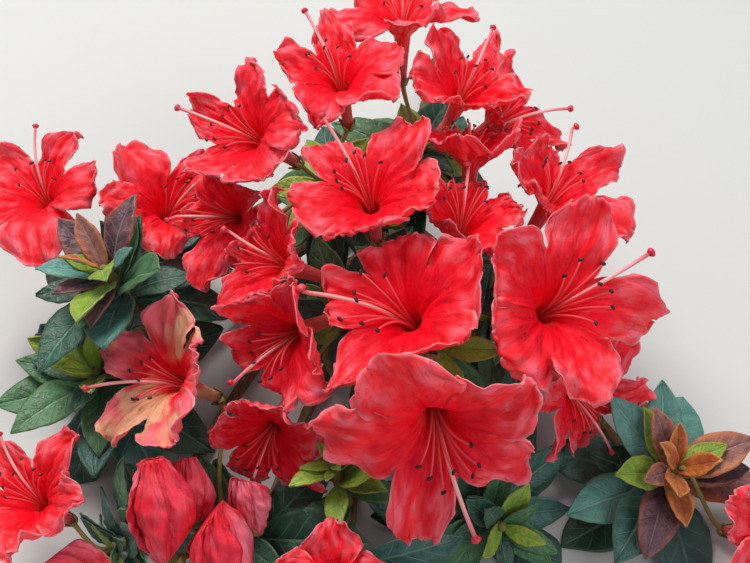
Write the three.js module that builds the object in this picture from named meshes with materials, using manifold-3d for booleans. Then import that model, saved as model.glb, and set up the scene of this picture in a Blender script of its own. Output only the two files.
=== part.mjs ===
// A flowering branch cut from a red evergreen azalea and laid on the ground.
// A woody stem runs in from its flat cut and forks into side shoots. Each shoot ends in a short
// leafy stem, and most carry one to three open blooms, or some buds, on stalks of their own.
// Every bloom is one solid: a five-lobed funnel with its pistil, stamens and stalk.
// Millimetres, +Z up. The cut end and the lowest leaves rest on the ground at z = 0.
import * as THREE from 'three';
import { mergeVertices } from 'three/addons/utils/BufferGeometryUtils.js';
import Module from 'manifold-3d';

const wasm = await Module();
wasm.setup();

const { clamp, degToRad, lerp, smoothstep } = THREE.MathUtils;

// The flower head is laid out across, up and out, as seen by someone who looks down at it. It
// leans back from there by HEAD_LEAN degrees, and its middle is HEAD_MIDDLE.
const HEAD_LEAN = 40;
const HEAD_MIDDLE = new THREE.Vector3(0, -40, 58);

// Where the middle of the branch's ground plan comes to lie over the origin.
const SET_DOWN = [-1.5, 5.3];

// Clearances between solids, between the cells of neighbouring blooms, above the ground and round a
// leaf, and the common volume that is still none.
const SEAT_GAP = 0.3;
const CELL_GAP = 0.85;
const GROUND_GAP = 0.7;
const LEAF_CLEARANCE = 0.35;
const TOUCH = 1e-6;

// The stem's curve from its cut to its foremost shoot, and its radius at both ends.
const STEM_CURVE = [[25, 112, 4.6], [15, 52, 4.6], [2, 28, 5.5], [5, -11, 17]];
const STEM_RADII = [4.6, 2.7];
const SHOOT_RADIUS = 1.9;
const LOWEST_LIMB = 3.2;

// The leafy stem at a shoot's end, under flowers or on its own, and the angle of its youngest leaves.
const FLOWERING = { stem: 14, youngest: 62 };
const LEAFY = { stem: 18, youngest: 22 };
const GOLDEN_ANGLE = 137.5;
const LEAF_THICK = 0.9;

// A bloom of nominal width. Its petals part at SINUS of the way from the throat to the edge.
const NOMINAL_BLOOM = 52;
const LARGE_BLOOM = 54;
const PETALS = 5;
const HALF_SECTOR = 180 / PETALS;
const PETAL_ACROSS = 4;
const PETAL_THICK = 0.8;
const THROAT_RADIUS = 2.3;
const SINUS = 0.38;
const TUBE_LENGTH = 15;
const STALK_START = 12.5;
const STALK_RADIUS = 0.75;
const STALK_LENGTH = 26;
const BUD_STALK = 9;
const BUD_HEEL = 0.2;

// The pistil and the stamens at angle degrees to each side of it: how far they reach forward of the
// throat and to the side.
const PISTIL = { forward: 15, sideways: 19, radius: 0.6 };
const STAMEN = { forward: 11, sideways: 8, radius: 0.5, angle: 36 };
const ORGAN_ROOT = 5.5;

// A cell reaches so far, and its core is its alone.
const STALK_CELL = { reach: 3.5, core: 1.6 };
const TUBE_CELL = { reach: 6, core: 3.4 };

// How gently petals give way to their neighbours, and how many times each wall is tried.
const PRESS_SOFTNESS = 4;
const PRESS_PASSES = 10;

const PETAL_RED = 0xe8222c;
const BUD_RED = 0xd8283a;
const LEAF_GREEN = 0x2f5a3c;
const YOUNG_GREEN = 0x6f8f35;
const YOUNG_BRONZE = 0x8a4a2c;
const BARK_BROWN = 0x6b5040;

// The shoots in order from the cut. from is where one leaves the stem, from 0 to 1. It has a number of
// leaves of about leaf millimetres, the oldest turned spread degrees from its end. A shoot with no
// flowers has its own end in the head and points to the right and up by so many degrees.
// A bloom is at its throat. It turns to the right and nods up by so many degrees, is size wide, and
// open runs from 0, cupped, to 1, flat. Its petals are rolled, and its pistil leans, clockwise from
// the top. A bud runs from its base to its tip.
const SHOOTS = [
  {
    name: 'far_left', from: 0.3, leaves: 10, leaf: 33, spread: 92,
    blooms: [
      { name: 'far_left', at: [-95, 22, -36], turn: -22, nod: 34, size: 50, open: 0.8, roll: 15, pistil: 350 },
      { name: 'left_back', at: [-61, 19, -37], turn: 18, nod: 32, size: 50, open: 0.6, roll: 40, pistil: 60 },
    ],
  },
  {
    name: 'top', from: 0.42, leaves: 13, leaf: 32, spread: 96,
    blooms: [
      { name: 'back', at: [8, 72, -38], turn: 0, nod: 56, size: 52, open: 0.8, roll: 20, pistil: 0 },
      { name: 'upper_right', at: [23, 49, -19], turn: 22, nod: 34, size: 50, open: 0.7, roll: 50, pistil: 30 },
      { name: 'far_right', at: [33, 44, -31], turn: 48, nod: 24, size: 54, open: 0.7, roll: 30, pistil: 90 },
    ],
  },
  {
    name: 'left_leafy', from: 0.46, leaves: 15, leaf: 35, spread: 80,
    end: [-73, 4, -9], points: [-22, 36], color: YOUNG_BRONZE,
  },
  {
    name: 'upper_left', from: 0.52, leaves: 13, leaf: 33, spread: 96,
    blooms: [
      { name: 'upper_left', at: [-31, 38, -15], turn: -40, nod: 18, size: 54, open: 0.85, roll: 0, pistil: 285 },
      { name: 'top', at: [-9, 52, -13], turn: -8, nod: 36, size: 50, open: 0.85, roll: -10, pistil: 328 },
      { name: 'mid_left', at: [-38, 18, -22], turn: -34, nod: 0, size: 50, open: 0.6, roll: 50, pistil: 270 },
    ],
  },
  {
    name: 'left_low', from: 0.58, leaves: 12, leaf: 35, spread: 86,
    end: [-77, -24, -16], points: [-8, 26], color: LEAF_GREEN,
  },
  {
    name: 'right_leafy', from: 0.62, leaves: 14, leaf: 33, spread: 78,
    end: [80, -49, -5], points: [10, 24], color: YOUNG_BRONZE,
    blooms: [
      { name: 'low_right', at: [100, -65, -2], turn: 26, nod: 12, size: 46, open: 0.6, roll: 10, pistil: 120 },
    ],
  },
  {
    name: 'corner', from: 0.7, leaves: 9, leaf: 30, spread: 88,
    blooms: [
      { name: 'corner', at: [-86, -58, 1], turn: -24, nod: 28, size: 46, open: 0.6, roll: 25, pistil: 325 },
    ],
    buds: [{ name: 'corner', base: [-68, -73, 4], tip: [-84, -68, 10], radius: 4.8 }],
  },
  {
    name: 'right', from: 0.76, leaves: 11, leaf: 35, spread: 98,
    blooms: [
      { name: 'right', at: [42, -8, 15], turn: 22, nod: 14, size: 63, open: 0.95, roll: 20, pistil: 62 },
      { name: 'right_top', at: [46, 20, -9], turn: 32, nod: 44, size: 54, open: 0.7, roll: 0, pistil: 30 },
      { name: 'right_under', at: [52, -29, -12], turn: 38, nod: -26, size: 46, open: 0.6, roll: 9, pistil: 140 },
    ],
  },
  {
    name: 'left', from: 0.82, leaves: 13, leaf: 34, spread: 98,
    blooms: [
      { name: 'left', at: [-23, 4, -4], turn: -50, nod: 14, size: 54, open: 0.7, roll: 10, pistil: 300 },
      { name: 'low_left', at: [-20, -13, 3], turn: -40, nod: -14, size: 54, open: 0.7, roll: 40, pistil: 230 },
      { name: 'under_left', at: [-27, -38, -8], turn: -20, nod: -30, size: 50, open: 0.6, roll: 0, pistil: 200 },
    ],
  },
  {
    name: 'buds', from: 0.9, leaves: 10, leaf: 32, spread: 86,
    blooms: [
      { name: 'nodding', at: [-51, -27, -6], turn: -36, nod: 20, size: 54, open: 0.45, roll: 0, pistil: 250 },
    ],
    buds: [
      { name: 'big_left', base: [-50, -72, 12], tip: [-55, -43, 17], radius: 8 },
      { name: 'wrinkled', base: [-46, -65, 1], tip: [-48, -41, 5], radius: 5.6 },
      { name: 'dark', base: [-31, -66, -2], tip: [-34, -47, 5], radius: 5.2 },
      { name: 'big_low', base: [-37, -83, 9], tip: [-40, -53, 18], radius: 8 },
    ],
  },
  {
    name: 'low_front', from: 0.84, leaves: 9, leaf: 34, spread: 88,
    blooms: [
      { name: 'bottom', at: [-11, -79, 9], turn: -4, nod: 32, size: 42, open: 0.5, roll: 0, pistil: 180 },
    ],
  },
  {
    name: 'low_leafy', from: 0.93, leaves: 10, leaf: 35, spread: 84,
    end: [34, -65, -4], points: [20, -6], color: LEAF_GREEN,
  },
  {
    name: 'young', from: 0.97, leaves: 8, leaf: 21, spread: 60,
    end: [-11, -46, 3], points: [-14, 44], color: YOUNG_GREEN,
  },
  {
    name: 'centre', from: 0.98, leaves: 12, leaf: 32, spread: 100,
    blooms: [
      { name: 'centre', at: [-1, 19, 5], turn: -6, nod: 30, size: 56, open: 0.8, roll: 30, pistil: 325 },
      { name: 'inner_right', at: [22, 12, 0], turn: 10, nod: 44, size: 52, open: 0.5, roll: 15, pistil: 10 },
      { name: 'inner_top', at: [26, 31, -14], turn: 4, nod: 60, size: 50, open: 0.5, roll: 60, pistil: 0 },
    ],
  },
  {
    name: 'front', from: 1, leaves: 12, leaf: 36, spread: 104,
    blooms: [
      { name: 'front', at: [14, -31, 28], turn: 3, nod: -36, size: 66, open: 0.9, roll: 46, pistil: 157 },
      { name: 'middle', at: [9, -10, 14], turn: -22, nod: 26, size: 66, open: 0.9, roll: -11, pistil: 268 },
    ],
  },
];

// A number from 0 to 1 that is always the same for the same keys, and one from -1 to 1.
function chance(...keys) {
  const wave = Math.sin(keys.reduce((sum, key) => sum * 1.731 + key * 12.9898, 4.137)) * 43758.5453;
  return wave - Math.floor(wave);
}

const swing = (...keys) => 2 * chance(...keys) - 1;

const lean = new THREE.Euler(degToRad(HEAD_LEAN), 0, 0);
const headUp = new THREE.Vector3(0, 1, 0).applyEuler(lean);
const place = (spot) => new THREE.Vector3(...spot).applyEuler(lean).add(HEAD_MIDDLE);

function facing(turn, nod) {
  const [t, n] = [degToRad(turn), degToRad(nod)];
  const way = new THREE.Vector3(Math.sin(t) * Math.cos(n), Math.sin(n), Math.cos(t) * Math.cos(n));
  return way.applyEuler(lean);
}

// point moved by each amount along its direction.
function offset(point, ...moves) {
  const moved = point.clone();
  for (const [amount, direction] of moves) moved.addScaledVector(direction, amount);
  return moved;
}

const wayTo = (from, to) => to.clone().sub(from).normalize();

// Solids

function geometryOf(points, triangles) {
  const geometry = new THREE.BufferGeometry();
  geometry.setAttribute('position', new THREE.Float32BufferAttribute(points.flatMap((p) => p.toArray()), 3));
  geometry.setIndex(triangles);
  return geometry;
}

function solidOf(geometry) {
  const merged = mergeVertices(geometry, 1e-3);
  return new wasm.Manifold(new wasm.Mesh({
    numProp: 3,
    vertProperties: merged.attributes.position.array,
    triVerts: new Uint32Array(merged.index.array),
  }));
}

function fromSolid(solid) {
  const { vertProperties, triVerts, numProp } = solid.getMesh();
  const points = [];
  for (let i = 0; i < vertProperties.length; i += numProp) {
    points.push(new THREE.Vector3(vertProperties[i], vertProperties[i + 1], vertProperties[i + 2]));
  }
  return geometryOf(points, Array.from(triVerts));
}

// The solid with its nearest corners merged, and without any loose scrap.
function tidied(solid) {
  const pieces = solidOf(fromSolid(solid)).decompose();
  return pieces.reduce((best, piece) => (piece.volume() > best.volume() ? piece : best));
}

// A limb through points, with a radius at each. Its flat ends are square to ways, where given.
function limb(points, radii, sides, ways = []) {
  const corners = [];
  const triangles = [];
  const end = points.length - 1;
  let across = new THREE.Vector3(1, 0, 0);
  points.forEach((point, i) => {
    const given = { 0: ways[0], [end]: ways[1] }[i];
    const along = given ?? wayTo(points[Math.max(i - 1, 0)], points[Math.min(i + 1, end)]);
    if (i === 0 && Math.abs(along.x) > 0.9) across.set(0, 1, 0);
    across = offset(across, [-across.dot(along), along]).normalize();
    const over = along.clone().cross(across);
    for (let side = 0; side < sides; side += 1) {
      const angle = (2 * Math.PI * side) / sides;
      corners.push(offset(point, [radii[i] * Math.cos(angle), across], [radii[i] * Math.sin(angle), over]));
    }
  });
  for (let ring = 0; ring < end; ring += 1) {
    for (let side = 0; side < sides; side += 1) {
      const a = ring * sides + side;
      const b = ring * sides + ((side + 1) % sides);
      triangles.push(a, b, b + sides, a, b + sides, a + sides);
    }
  }
  const last = end * sides;
  for (let side = 1; side + 1 < sides; side += 1) {
    triangles.push(0, side + 1, side, last, last + side, last + side + 1);
  }
  return geometryOf(corners, triangles);
}

// The curve that leaves start along startWay and reaches end along endWay, turning to it over turn
// millimetres at most.
function bend(start, startWay, end, endWay, turn = Infinity) {
  const third = start.distanceTo(end) / 3;
  const handle = offset(end, [-Math.min(turn, third), endWay]);
  return new THREE.CubicBezierCurve3(start, offset(start, [third, startWay]), handle, end);
}

const tapered = (count, from, to) => Array.from({ length: count }, (_, i) => lerp(from, to, i / (count - 1)));

// Cells: each bloom or bud keeps to its own space. A flat wall stands between it and each neighbour,
// nearer the smaller one but outside its core, and petals that reach it bend and lie along it, as
// crowded petals do.

function cellOf(piece) {
  const { name } = piece;
  if (piece.base) {
    const middle = piece.base.clone().lerp(piece.point, 0.5);
    return { name, middle, reach: piece.radius + 3, core: piece.radius };
  }
  const middle = offset(piece.throat, [0.14 * piece.size, piece.axis]);
  return { name, middle, reach: 0.4 * piece.size, core: 0 };
}

// A tube or stalk has thin cells of its own at a few places along it.
function stalkCellsOf(piece) {
  const { name } = piece;
  const stalk = piece.stalk.getPoints(3).map((middle) => ({ name, middle, ...STALK_CELL }));
  if (piece.base) return stalk;
  const tube = [-3, -8].map((along) => offset(piece.throat, [along, piece.axis]));
  return [...stalk, ...tube.map((middle) => ({ name, middle, ...TUBE_CELL }))];
}

function wallsOf(cell, cells) {
  const ground = { point: new THREE.Vector3(0, 0, 0), away: new THREE.Vector3(0, 0, -1), gap: GROUND_GAP };
  const walls = cells.filter((other) => other.name !== cell.name).map((other) => {
    const distance = cell.middle.distanceTo(other.middle);
    const fair = 0.5 + (cell.reach ** 2 - other.reach ** 2) / (2 * distance ** 2);
    const share = clamp(fair, cell.core / distance, 1 - other.core / distance);
    return {
      point: cell.middle.clone().lerp(other.middle, share),
      away: wayTo(cell.middle, other.middle),
      gap: CELL_GAP,
    };
  });
  return [...walls, ground];
}

// Moves a point off its walls: gently while it is within softness of one, then wholly.
function press(point, walls, softness) {
  const past = (wall) => point.clone().sub(wall.point).dot(wall.away) + wall.gap;
  for (const wall of walls) {
    const over = past(wall) + softness;
    if (over > 0) point.addScaledVector(wall.away, softness * (1 - Math.exp(-over / softness)) - over);
  }
  for (let pass = 0; pass < PRESS_PASSES; pass += 1) {
    for (const wall of walls) point.addScaledVector(wall.away, -Math.max(0, past(wall)));
  }
  return point;
}

function pressAll(geometry, walls, softness) {
  const { position } = geometry.attributes;
  for (let i = 0; i < position.count; i += 1) {
    const point = press(new THREE.Vector3().fromBufferAttribute(position, i), walls, softness);
    position.setXYZ(i, ...point.toArray());
  }
  return geometry;
}

// Blooms

const scaleOf = (bloom) => bloom.size / NOMINAL_BLOOM;

// A petal's middle line at t: its distance from the bloom's axis and forward of the throat.
function petalLine(bloom, petal, t) {
  const { open } = bloom;
  const radii = [0, 3, 9 + 3.5 * open, 17 + 6 * open];
  const forward = [0, 6.5, 12 - 2.5 * open, 17 - 12 * open];
  const weights = [(1 - t) ** 3, 3 * (1 - t) ** 2 * t, 3 * (1 - t) * t ** 2, t ** 3];
  const sum = (values) => weights.reduce((total, weight, i) => total + weight * values[i], 0);
  const ease = smoothstep(t, 0.3, 1);
  const grown = 1 + 0.11 * ease * swing(bloom.seed, petal, 1);
  const tilt = degToRad(15) * ease * swing(bloom.seed, petal, 2);
  const [r, z] = [sum(radii), sum(forward)];
  return [
    THROAT_RADIUS + grown * (r * Math.cos(tilt) + z * Math.sin(tilt)),
    grown * (z * Math.cos(tilt) - r * Math.sin(tilt)),
  ];
}

// How far a petal reaches to each side at t, in degrees round the bloom's axis. Those on the pistil's
// side stand further apart.
function petalSpread(bloom, petal, t) {
  const free = Math.max(0, (t - SINUS) / (1 - SINUS));
  const apart = 0.5 + 0.5 * Math.cos(degToRad(bloom.roll + petal * 2 * HALF_SECTOR - bloom.pistil));
  const parting = Math.min(1.5 + 8 * apart, (6 + 26 * apart) * free);
  return HALF_SECTOR - free ** 2 * (19 + 4 * swing(bloom.seed, petal, 3)) - parting;
}

// A point on a petal: u runs from -1 to 1 across it, and t from 0 at the throat to 1 at its edge.
function petalPoint(bloom, petal, u, t) {
  const k = scaleOf(bloom);
  const reached = t > SINUS ? SINUS + (t - SINUS) * (1 - 0.48 * Math.abs(u) ** 2.6) : t;
  const free = Math.max(0, (reached - SINUS) / (1 - SINUS));
  const [r, z] = petalLine(bloom, petal, reached);
  const [r2, z2] = petalLine(bloom, petal, reached + 0.01);
  const slope = Math.atan2(z2 - z, r2 - r);
  const aside = degToRad(u * petalSpread(bloom, petal, reached));
  const radius = r * (1 + smoothstep(reached, 0.1, 0.45) * (1 / Math.cos(aside) - 1));
  const strayed = 8 * free ** 2 * swing(bloom.seed, petal, 7);
  const turned = degToRad(bloom.roll + petal * 2 * HALF_SECTOR + strayed) + aside;
  const phase = 2 * Math.PI * chance(bloom.seed, petal, 4);
  const side = Math.sign(u) * Math.min(1, Math.abs(u) * 8);
  const wavy = 0.7 + 0.9 * chance(bloom.seed, petal, 8);
  const ruffle = 2.8 * wavy * free * Math.abs(u) ** 1.3 * Math.sin(6.6 * free + phase + 1.6 * side);
  const rim = 1.7 * wavy * free ** 3 * Math.sin(3.4 * u + 2 * phase);
  const curl = free * (3.8 * u * u * swing(bloom.seed, petal, 5) + 3 * u * swing(bloom.seed, petal, 6));
  const groove = -1.1 * free * Math.exp(-((u / 0.25) ** 2));
  const ridge = 1.1 * u ** 4 * smoothstep(reached, 0.05, SINUS) * (1 - smoothstep(free, 0, 0.4));
  const lift = ruffle + rim + curl + groove + ridge;
  const outward = radius - lift * Math.sin(slope);
  const point = offset(
    bloom.throat,
    [k * outward * Math.sin(turned), bloom.right],
    [k * outward * Math.cos(turned), bloom.up],
    [k * (z + lift * Math.cos(slope)), bloom.axis],
  );
  return press(point, bloom.walls, PRESS_SOFTNESS * smoothstep(reached, 0, 0.3) + 0.05);
}

// The corolla: a ring round the throat and one where the petals part, then five free lobes.
function corolla(bloom) {
  const around = PETALS * PETAL_ACROSS;
  const throat = around / 2;
  const rows = bloom.size > LARGE_BLOOM ? 3 : 2;
  const across = (step) => (2 * step) / PETAL_ACROSS - 1;
  const middle = [];
  const faces = [];
  const addRing = (count, stride, t) => {
    for (let i = 0; i < count * stride; i += stride) {
      middle.push(petalPoint(bloom, Math.floor(i / PETAL_ACROSS), across(i % PETAL_ACROSS), t));
    }
  };
  addRing(throat, 2, 0);
  addRing(around, 1, SINUS);
  for (let i = 0; i < throat; i += 1) {
    const [next, near, far] = [(i + 1) % throat, throat + 2 * i, throat + ((2 * i + 2) % around)];
    faces.push([i, near + 1, near], [i, next, near + 1], [next, far, near + 1]);
  }
  for (let petal = 0; petal < PETALS; petal += 1) {
    const corner = (row, step) => {
      if (row === 0) return throat + ((petal * PETAL_ACROSS + step) % around);
      return throat + around + (petal * rows + row - 1) * (PETAL_ACROSS + 1) + step;
    };
    for (let row = 1; row <= rows; row += 1) {
      const t = lerp(SINUS, 1, row / rows);
      for (let step = 0; step <= PETAL_ACROSS; step += 1) {
        middle.push(petalPoint(bloom, petal, across(step), t));
      }
      for (let step = 0; step < PETAL_ACROSS; step += 1) {
        const [a, b] = [corner(row - 1, step), corner(row, step)];
        const [c, d] = [corner(row, step + 1), corner(row - 1, step + 1)];
        faces.push([a, c, b], [a, d, c]);
      }
    }
  }
  const pit = offset(bloom.throat, [-4 * scaleOf(bloom), bloom.axis]);
  const foot = offset(bloom.throat, [-TUBE_LENGTH * scaleOf(bloom), bloom.axis]);
  return thickened(middle, faces, throat, pit, foot, PETAL_THICK / 2);
}

// Both sides of a surface, joined along its open edges. The hole inside its first ring, of so many
// corners, is closed by a fan to pit on the inner side and to foot on the outer one.
function thickened(middle, faces, ring, pit, foot, half) {
  const normals = middle.map(() => new THREE.Vector3());
  const edges = new Map();
  for (const [a, b, c] of faces) {
    const normal = middle[b].clone().sub(middle[a]).cross(middle[c].clone().sub(middle[a]));
    for (const v of [a, b, c]) normals[v].add(normal);
    for (const [from, to] of [[a, b], [b, c], [c, a]]) {
      if (!edges.delete(`${to},${from}`)) edges.set(`${from},${to}`, [from, to]);
    }
  }
  normals.forEach((normal) => normal.normalize());
  const count = middle.length;
  const inner = middle.map((p, i) => offset(p, [half, normals[i]]));
  const outer = middle.map((p, i) => offset(p, [-half, normals[i]]));
  const triangles = [];
  for (const [a, b, c] of faces) triangles.push(a, b, c, a + count, c + count, b + count);
  for (const [from, to] of edges.values()) {
    if (from < ring && to < ring) {
      triangles.push(to, from, 2 * count, from + count, to + count, 2 * count + 1);
    } else {
      triangles.push(from, from + count, to + count, from, to + count, to);
    }
  }
  return geometryOf([...inner, ...outer, pit, foot], triangles);
}

// A pistil or stamen: it leaves the throat forward and arches over to one side.
function organ(bloom, direction, { forward, sideways, radius }) {
  const k = scaleOf(bloom);
  const aside = degToRad(direction);
  const way = offset(new THREE.Vector3(), [Math.sin(aside), bloom.right], [Math.cos(aside), bloom.up]);
  const curve = new THREE.QuadraticBezierCurve3(
    offset(bloom.throat, [-ORGAN_ROOT * k, bloom.axis], [0.05 * sideways * k, way]),
    offset(bloom.throat, [0.75 * forward * k, bloom.axis], [0.12 * sideways * k, way]),
    offset(bloom.throat, [forward * k, bloom.axis], [sideways * k, way]),
  );
  return solidOf(pressAll(limb(curve.getPoints(2), [radius, radius, 1.1 * radius], 3), bloom.walls, 0.3));
}

function bloomSolid(bloom) {
  const radii = [1.6 * scaleOf(bloom), 1, STALK_RADIUS, STALK_RADIUS];
  const stalk = limb(bloom.stalk.getPoints(3), radii, 4, [null, bloom.seatWay]);
  let solid = solidOf(corolla(bloom)).add(solidOf(stalk)).add(organ(bloom, bloom.pistil, PISTIL));
  for (const turn of bloom.size > LARGE_BLOOM ? [-STAMEN.angle, STAMEN.angle] : [STAMEN.angle]) {
    solid = solid.add(organ(bloom, bloom.pistil + turn, STAMEN));
  }
  return tidied(solid);
}

// A bud: a spindle that is widest past its middle and closes to a blunt point.
function budSolid(bud) {
  const points = [0, 0.12, 0.35, 0.6, 0.82, 1].map((share) => bud.base.clone().lerp(bud.point, share));
  const radii = [0.28, 0.55, 0.85, 1, 0.72, 0.16].map((girth) => girth * bud.radius);
  const stalk = limb(bud.stalk.getPoints(3), tapered(4, 1.1, STALK_RADIUS), 4, [null, bud.seatWay]);
  return tidied(solidOf(pressAll(limb(points, radii, 8), bud.walls, 1)).add(solidOf(stalk)));
}

// Leaves

// A leaf of 12 faces that grows from its base along way, bowed down and away from face, which its
// upper side looks along. grow adds room all round it.
function leafSolid(leaf, grow) {
  const side = leaf.way.clone().cross(leaf.face).normalize();
  const half = leaf.width / 2 + grow;
  const thick = LEAF_THICK / 2 + grow;
  const past = grow / leaf.length;
  const at = (share, aside, lift) => {
    const bowed = leaf.droop * share;
    const point = offset(
      leaf.base,
      [(leaf.length * Math.sin(bowed)) / leaf.droop, leaf.way],
      [(leaf.length * (Math.cos(bowed) - 1)) / leaf.droop + lift + leaf.fold * Math.abs(aside), leaf.face],
      [aside, side],
    );
    point.z = Math.max(point.z, 0.5 * (GROUND_GAP + LEAF_THICK + lift));
    return point;
  };
  const rim = [
    at(0, 0, 0), at(0.28 - past, -0.84 * half, 0), at(0.66 + past, -0.92 * half, 0),
    at(1 + 3 * past, 0, 0), at(0.66 + past, 0.92 * half, 0), at(0.28 - past, 0.84 * half, 0),
  ];
  const triangles = [];
  for (let i = 0; i < rim.length; i += 1) {
    const next = (i + 1) % rim.length;
    triangles.push(next, i, rim.length, i, next, rim.length + 1);
  }
  return solidOf(geometryOf([...rim, at(0.5, 0, thick), at(0.5, 0, -thick)], triangles));
}

// The leaves of a shoot turn by the golden angle up its stem, and the young ones near its tip are
// small and stand up.
function leavesOf(shoot) {
  return Array.from({ length: shoot.leaves }, (_, i) => {
    const share = i / (shoot.leaves - 1);
    const round = degToRad(GOLDEN_ANGLE * i + 25 * swing(shoot.seed, i, 1) + 360 * chance(shoot.seed, 9));
    const opened = degToRad(lerp(shoot.spread, shoot.youngest, share ** 1.2) + 8 * swing(shoot.seed, i, 2));
    const out = offset(new THREE.Vector3(), [Math.cos(round), shoot.right], [Math.sin(round), shoot.over]);
    const length = shoot.leaf * lerp(1, 0.42, share ** 1.5) * (1 + 0.12 * swing(shoot.seed, i, 3));
    return {
      base: offset(shoot.foot, [shoot.stem * lerp(0.12, 0.9, share), shoot.axis]),
      way: offset(new THREE.Vector3(), [Math.sin(opened), out], [Math.cos(opened), shoot.axis]),
      face: offset(new THREE.Vector3(), [-Math.cos(opened), out], [Math.sin(opened), shoot.axis]),
      length,
      width: length * lerp(0.48, 0.36, share),
      droop: 0.5 + 0.45 * swing(shoot.seed, i, 4),
      fold: 0.16,
    };
  });
}

function leafyStem(shoot) {
  const points = [SEAT_GAP, shoot.stem].map((along) => offset(shoot.foot, [along, shoot.axis]));
  return solidOf(limb(points, [SHOOT_RADIUS, shoot.ring + STALK_RADIUS], 6));
}

// A shoot's leafy stem, with each leaf that has room of its own.
function leafMass(shoot, obstacles) {
  let solid = leafyStem(shoot);
  for (const leaf of leavesOf(shoot)) {
    const room = leafSolid(leaf, LEAF_CLEARANCE);
    const free = obstacles.every((other) => room.intersect(other).volume() < TOUCH);
    if (free) solid = solid.add(leafSolid(leaf, 0));
  }
  return tidied(solid);
}

// The branch is worked out from its ends inwards: blooms and buds first, then the shoots that carry
// them, their stalks, and the stem's side limbs.

const stemCurve = new THREE.CubicBezierCurve3(...STEM_CURVE.map((spot) => new THREE.Vector3(...spot)));
const stemRadius = (share) => lerp(...STEM_RADII, share);

function bloomFrom(row, seed) {
  const axis = facing(row.turn, row.nod);
  const right = headUp.clone().cross(axis).normalize();
  const throat = place(row.at);
  const heel = offset(throat, [(-STALK_START * row.size) / NOMINAL_BLOOM, axis]);
  return { ...row, name: `bloom_${row.name}`, seed, throat, axis, right, up: axis.clone().cross(right), heel };
}

function budFrom(row) {
  const [base, point] = [place(row.base), place(row.tip)];
  const heel = base.clone().lerp(point, BUD_HEEL);
  return { ...row, name: `bud_${row.name}`, base, point, axis: wayTo(base, point), heel };
}

function shootFrom(row, index) {
  const carried = [
    ...(row.blooms ?? []).map((bloom, i) => bloomFrom(bloom, 10 * index + i)),
    ...(row.buds ?? []).map(budFrom),
  ];
  const from = stemCurve.getPoint(row.from);
  const crown = row.end ? place(row.end) : new THREE.Vector3();
  let axis = row.end ? facing(...row.points) : new THREE.Vector3();
  if (!row.end) {
    for (const piece of carried) {
      const stalk = piece.base ? BUD_STALK : (STALK_LENGTH - STALK_START) * scaleOf(piece);
      crown.addScaledVector(offset(piece.heel, [-stalk, piece.axis]), 1 / carried.length);
      axis.add(piece.axis);
    }
    axis = wayTo(from, crown).lerp(axis.normalize(), 0.5).normalize();
  }
  const habit = row.end ? LEAFY : FLOWERING;
  crown.z = Math.max(crown.z, LOWEST_LIMB + 1);
  axis.z = Math.min(axis.z, (crown.z - LOWEST_LIMB) / habit.stem);
  axis.normalize();
  const foot = offset(crown, [-habit.stem, axis]);
  const right = new THREE.Vector3(0, 0, 1).cross(axis).normalize();
  const over = axis.clone().cross(right);
  const ring = carried.length ? 0.55 + 0.3 * carried.length : 0.9;
  return { ...row, ...habit, seed: 400 + index, carried, crown, foot, axis, right, over, ring };
}

// The stalks of a shoot stand evenly spaced in a ring on the end of its stem, each as near as that
// allows to the side where its bloom or bud lies.
function seatStalks(shoot) {
  const bearing = (piece) => {
    const aim = piece.heel.clone().sub(shoot.crown);
    return Math.atan2(aim.dot(shoot.over), aim.dot(shoot.right));
  };
  const sorted = [...shoot.carried].sort((a, b) => bearing(a) - bearing(b));
  const step = (2 * Math.PI) / sorted.length;
  const start = sorted.reduce((sum, piece, i) => sum + (bearing(piece) - i * step) / sorted.length, 0);
  sorted.forEach((piece, i) => {
    const x = shoot.ring * Math.cos(start + i * step);
    const y = shoot.ring * Math.sin(start + i * step);
    const seat = offset(shoot.crown, [SEAT_GAP, shoot.axis], [x, shoot.right], [y, shoot.over]);
    piece.seatWay = shoot.axis.clone().negate();
    piece.stalk = bend(piece.heel, piece.axis.clone().negate(), seat, piece.seatWay);
  });
}

// A shoot's limb leaves the stem's bark and bends up to its leafy end.
function shootSolid(shoot) {
  const from = stemCurve.getPoint(shoot.from);
  const along = stemCurve.getTangent(shoot.from);
  const towards = shoot.foot.clone().sub(from);
  const aside = offset(towards, [-towards.dot(along), along]).normalize();
  const away = shoot.from === 1 ? along : aside.clone().lerp(along, 0.35).normalize();
  const bark = (stemRadius(shoot.from) + SEAT_GAP + 0.45 * SHOOT_RADIUS) / away.dot(aside);
  const start = offset(from, [shoot.from === 1 ? SEAT_GAP : bark, away]);
  const turn = 3 + (0.35 * (shoot.foot.z - LOWEST_LIMB)) / Math.max(shoot.axis.z, 0.1);
  const route = bend(start, away, shoot.foot, shoot.axis, turn).getPoints(6);
  const points = [...route.slice(0, -1).filter((point) => point.distanceTo(shoot.foot) > 7), shoot.foot];
  for (const point of points) point.z = Math.max(point.z, LOWEST_LIMB);
  const radii = tapered(points.length, SHOOT_RADIUS, 0.9 * SHOOT_RADIUS);
  return solidOf(limb(points, radii, 6, [away, shoot.axis]));
}

function stemSolid() {
  const points = stemCurve.getPoints(10);
  return solidOf(limb(points, tapered(11, ...STEM_RADII), 8));
}

const shoots = SHOOTS.map(shootFrom);
shoots.filter((shoot) => shoot.carried.length).forEach(seatStalks);
const pieces = shoots.flatMap((shoot) => shoot.carried);
const cells = [...pieces.map(cellOf), ...pieces.flatMap(stalkCellsOf)];
for (const piece of pieces) piece.walls = wallsOf(cellOf(piece), cells);

const branch = new THREE.Group();
branch.name = 'azalea_branch';
branch.position.set(...SET_DOWN, 0);

const taken = [];

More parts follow.
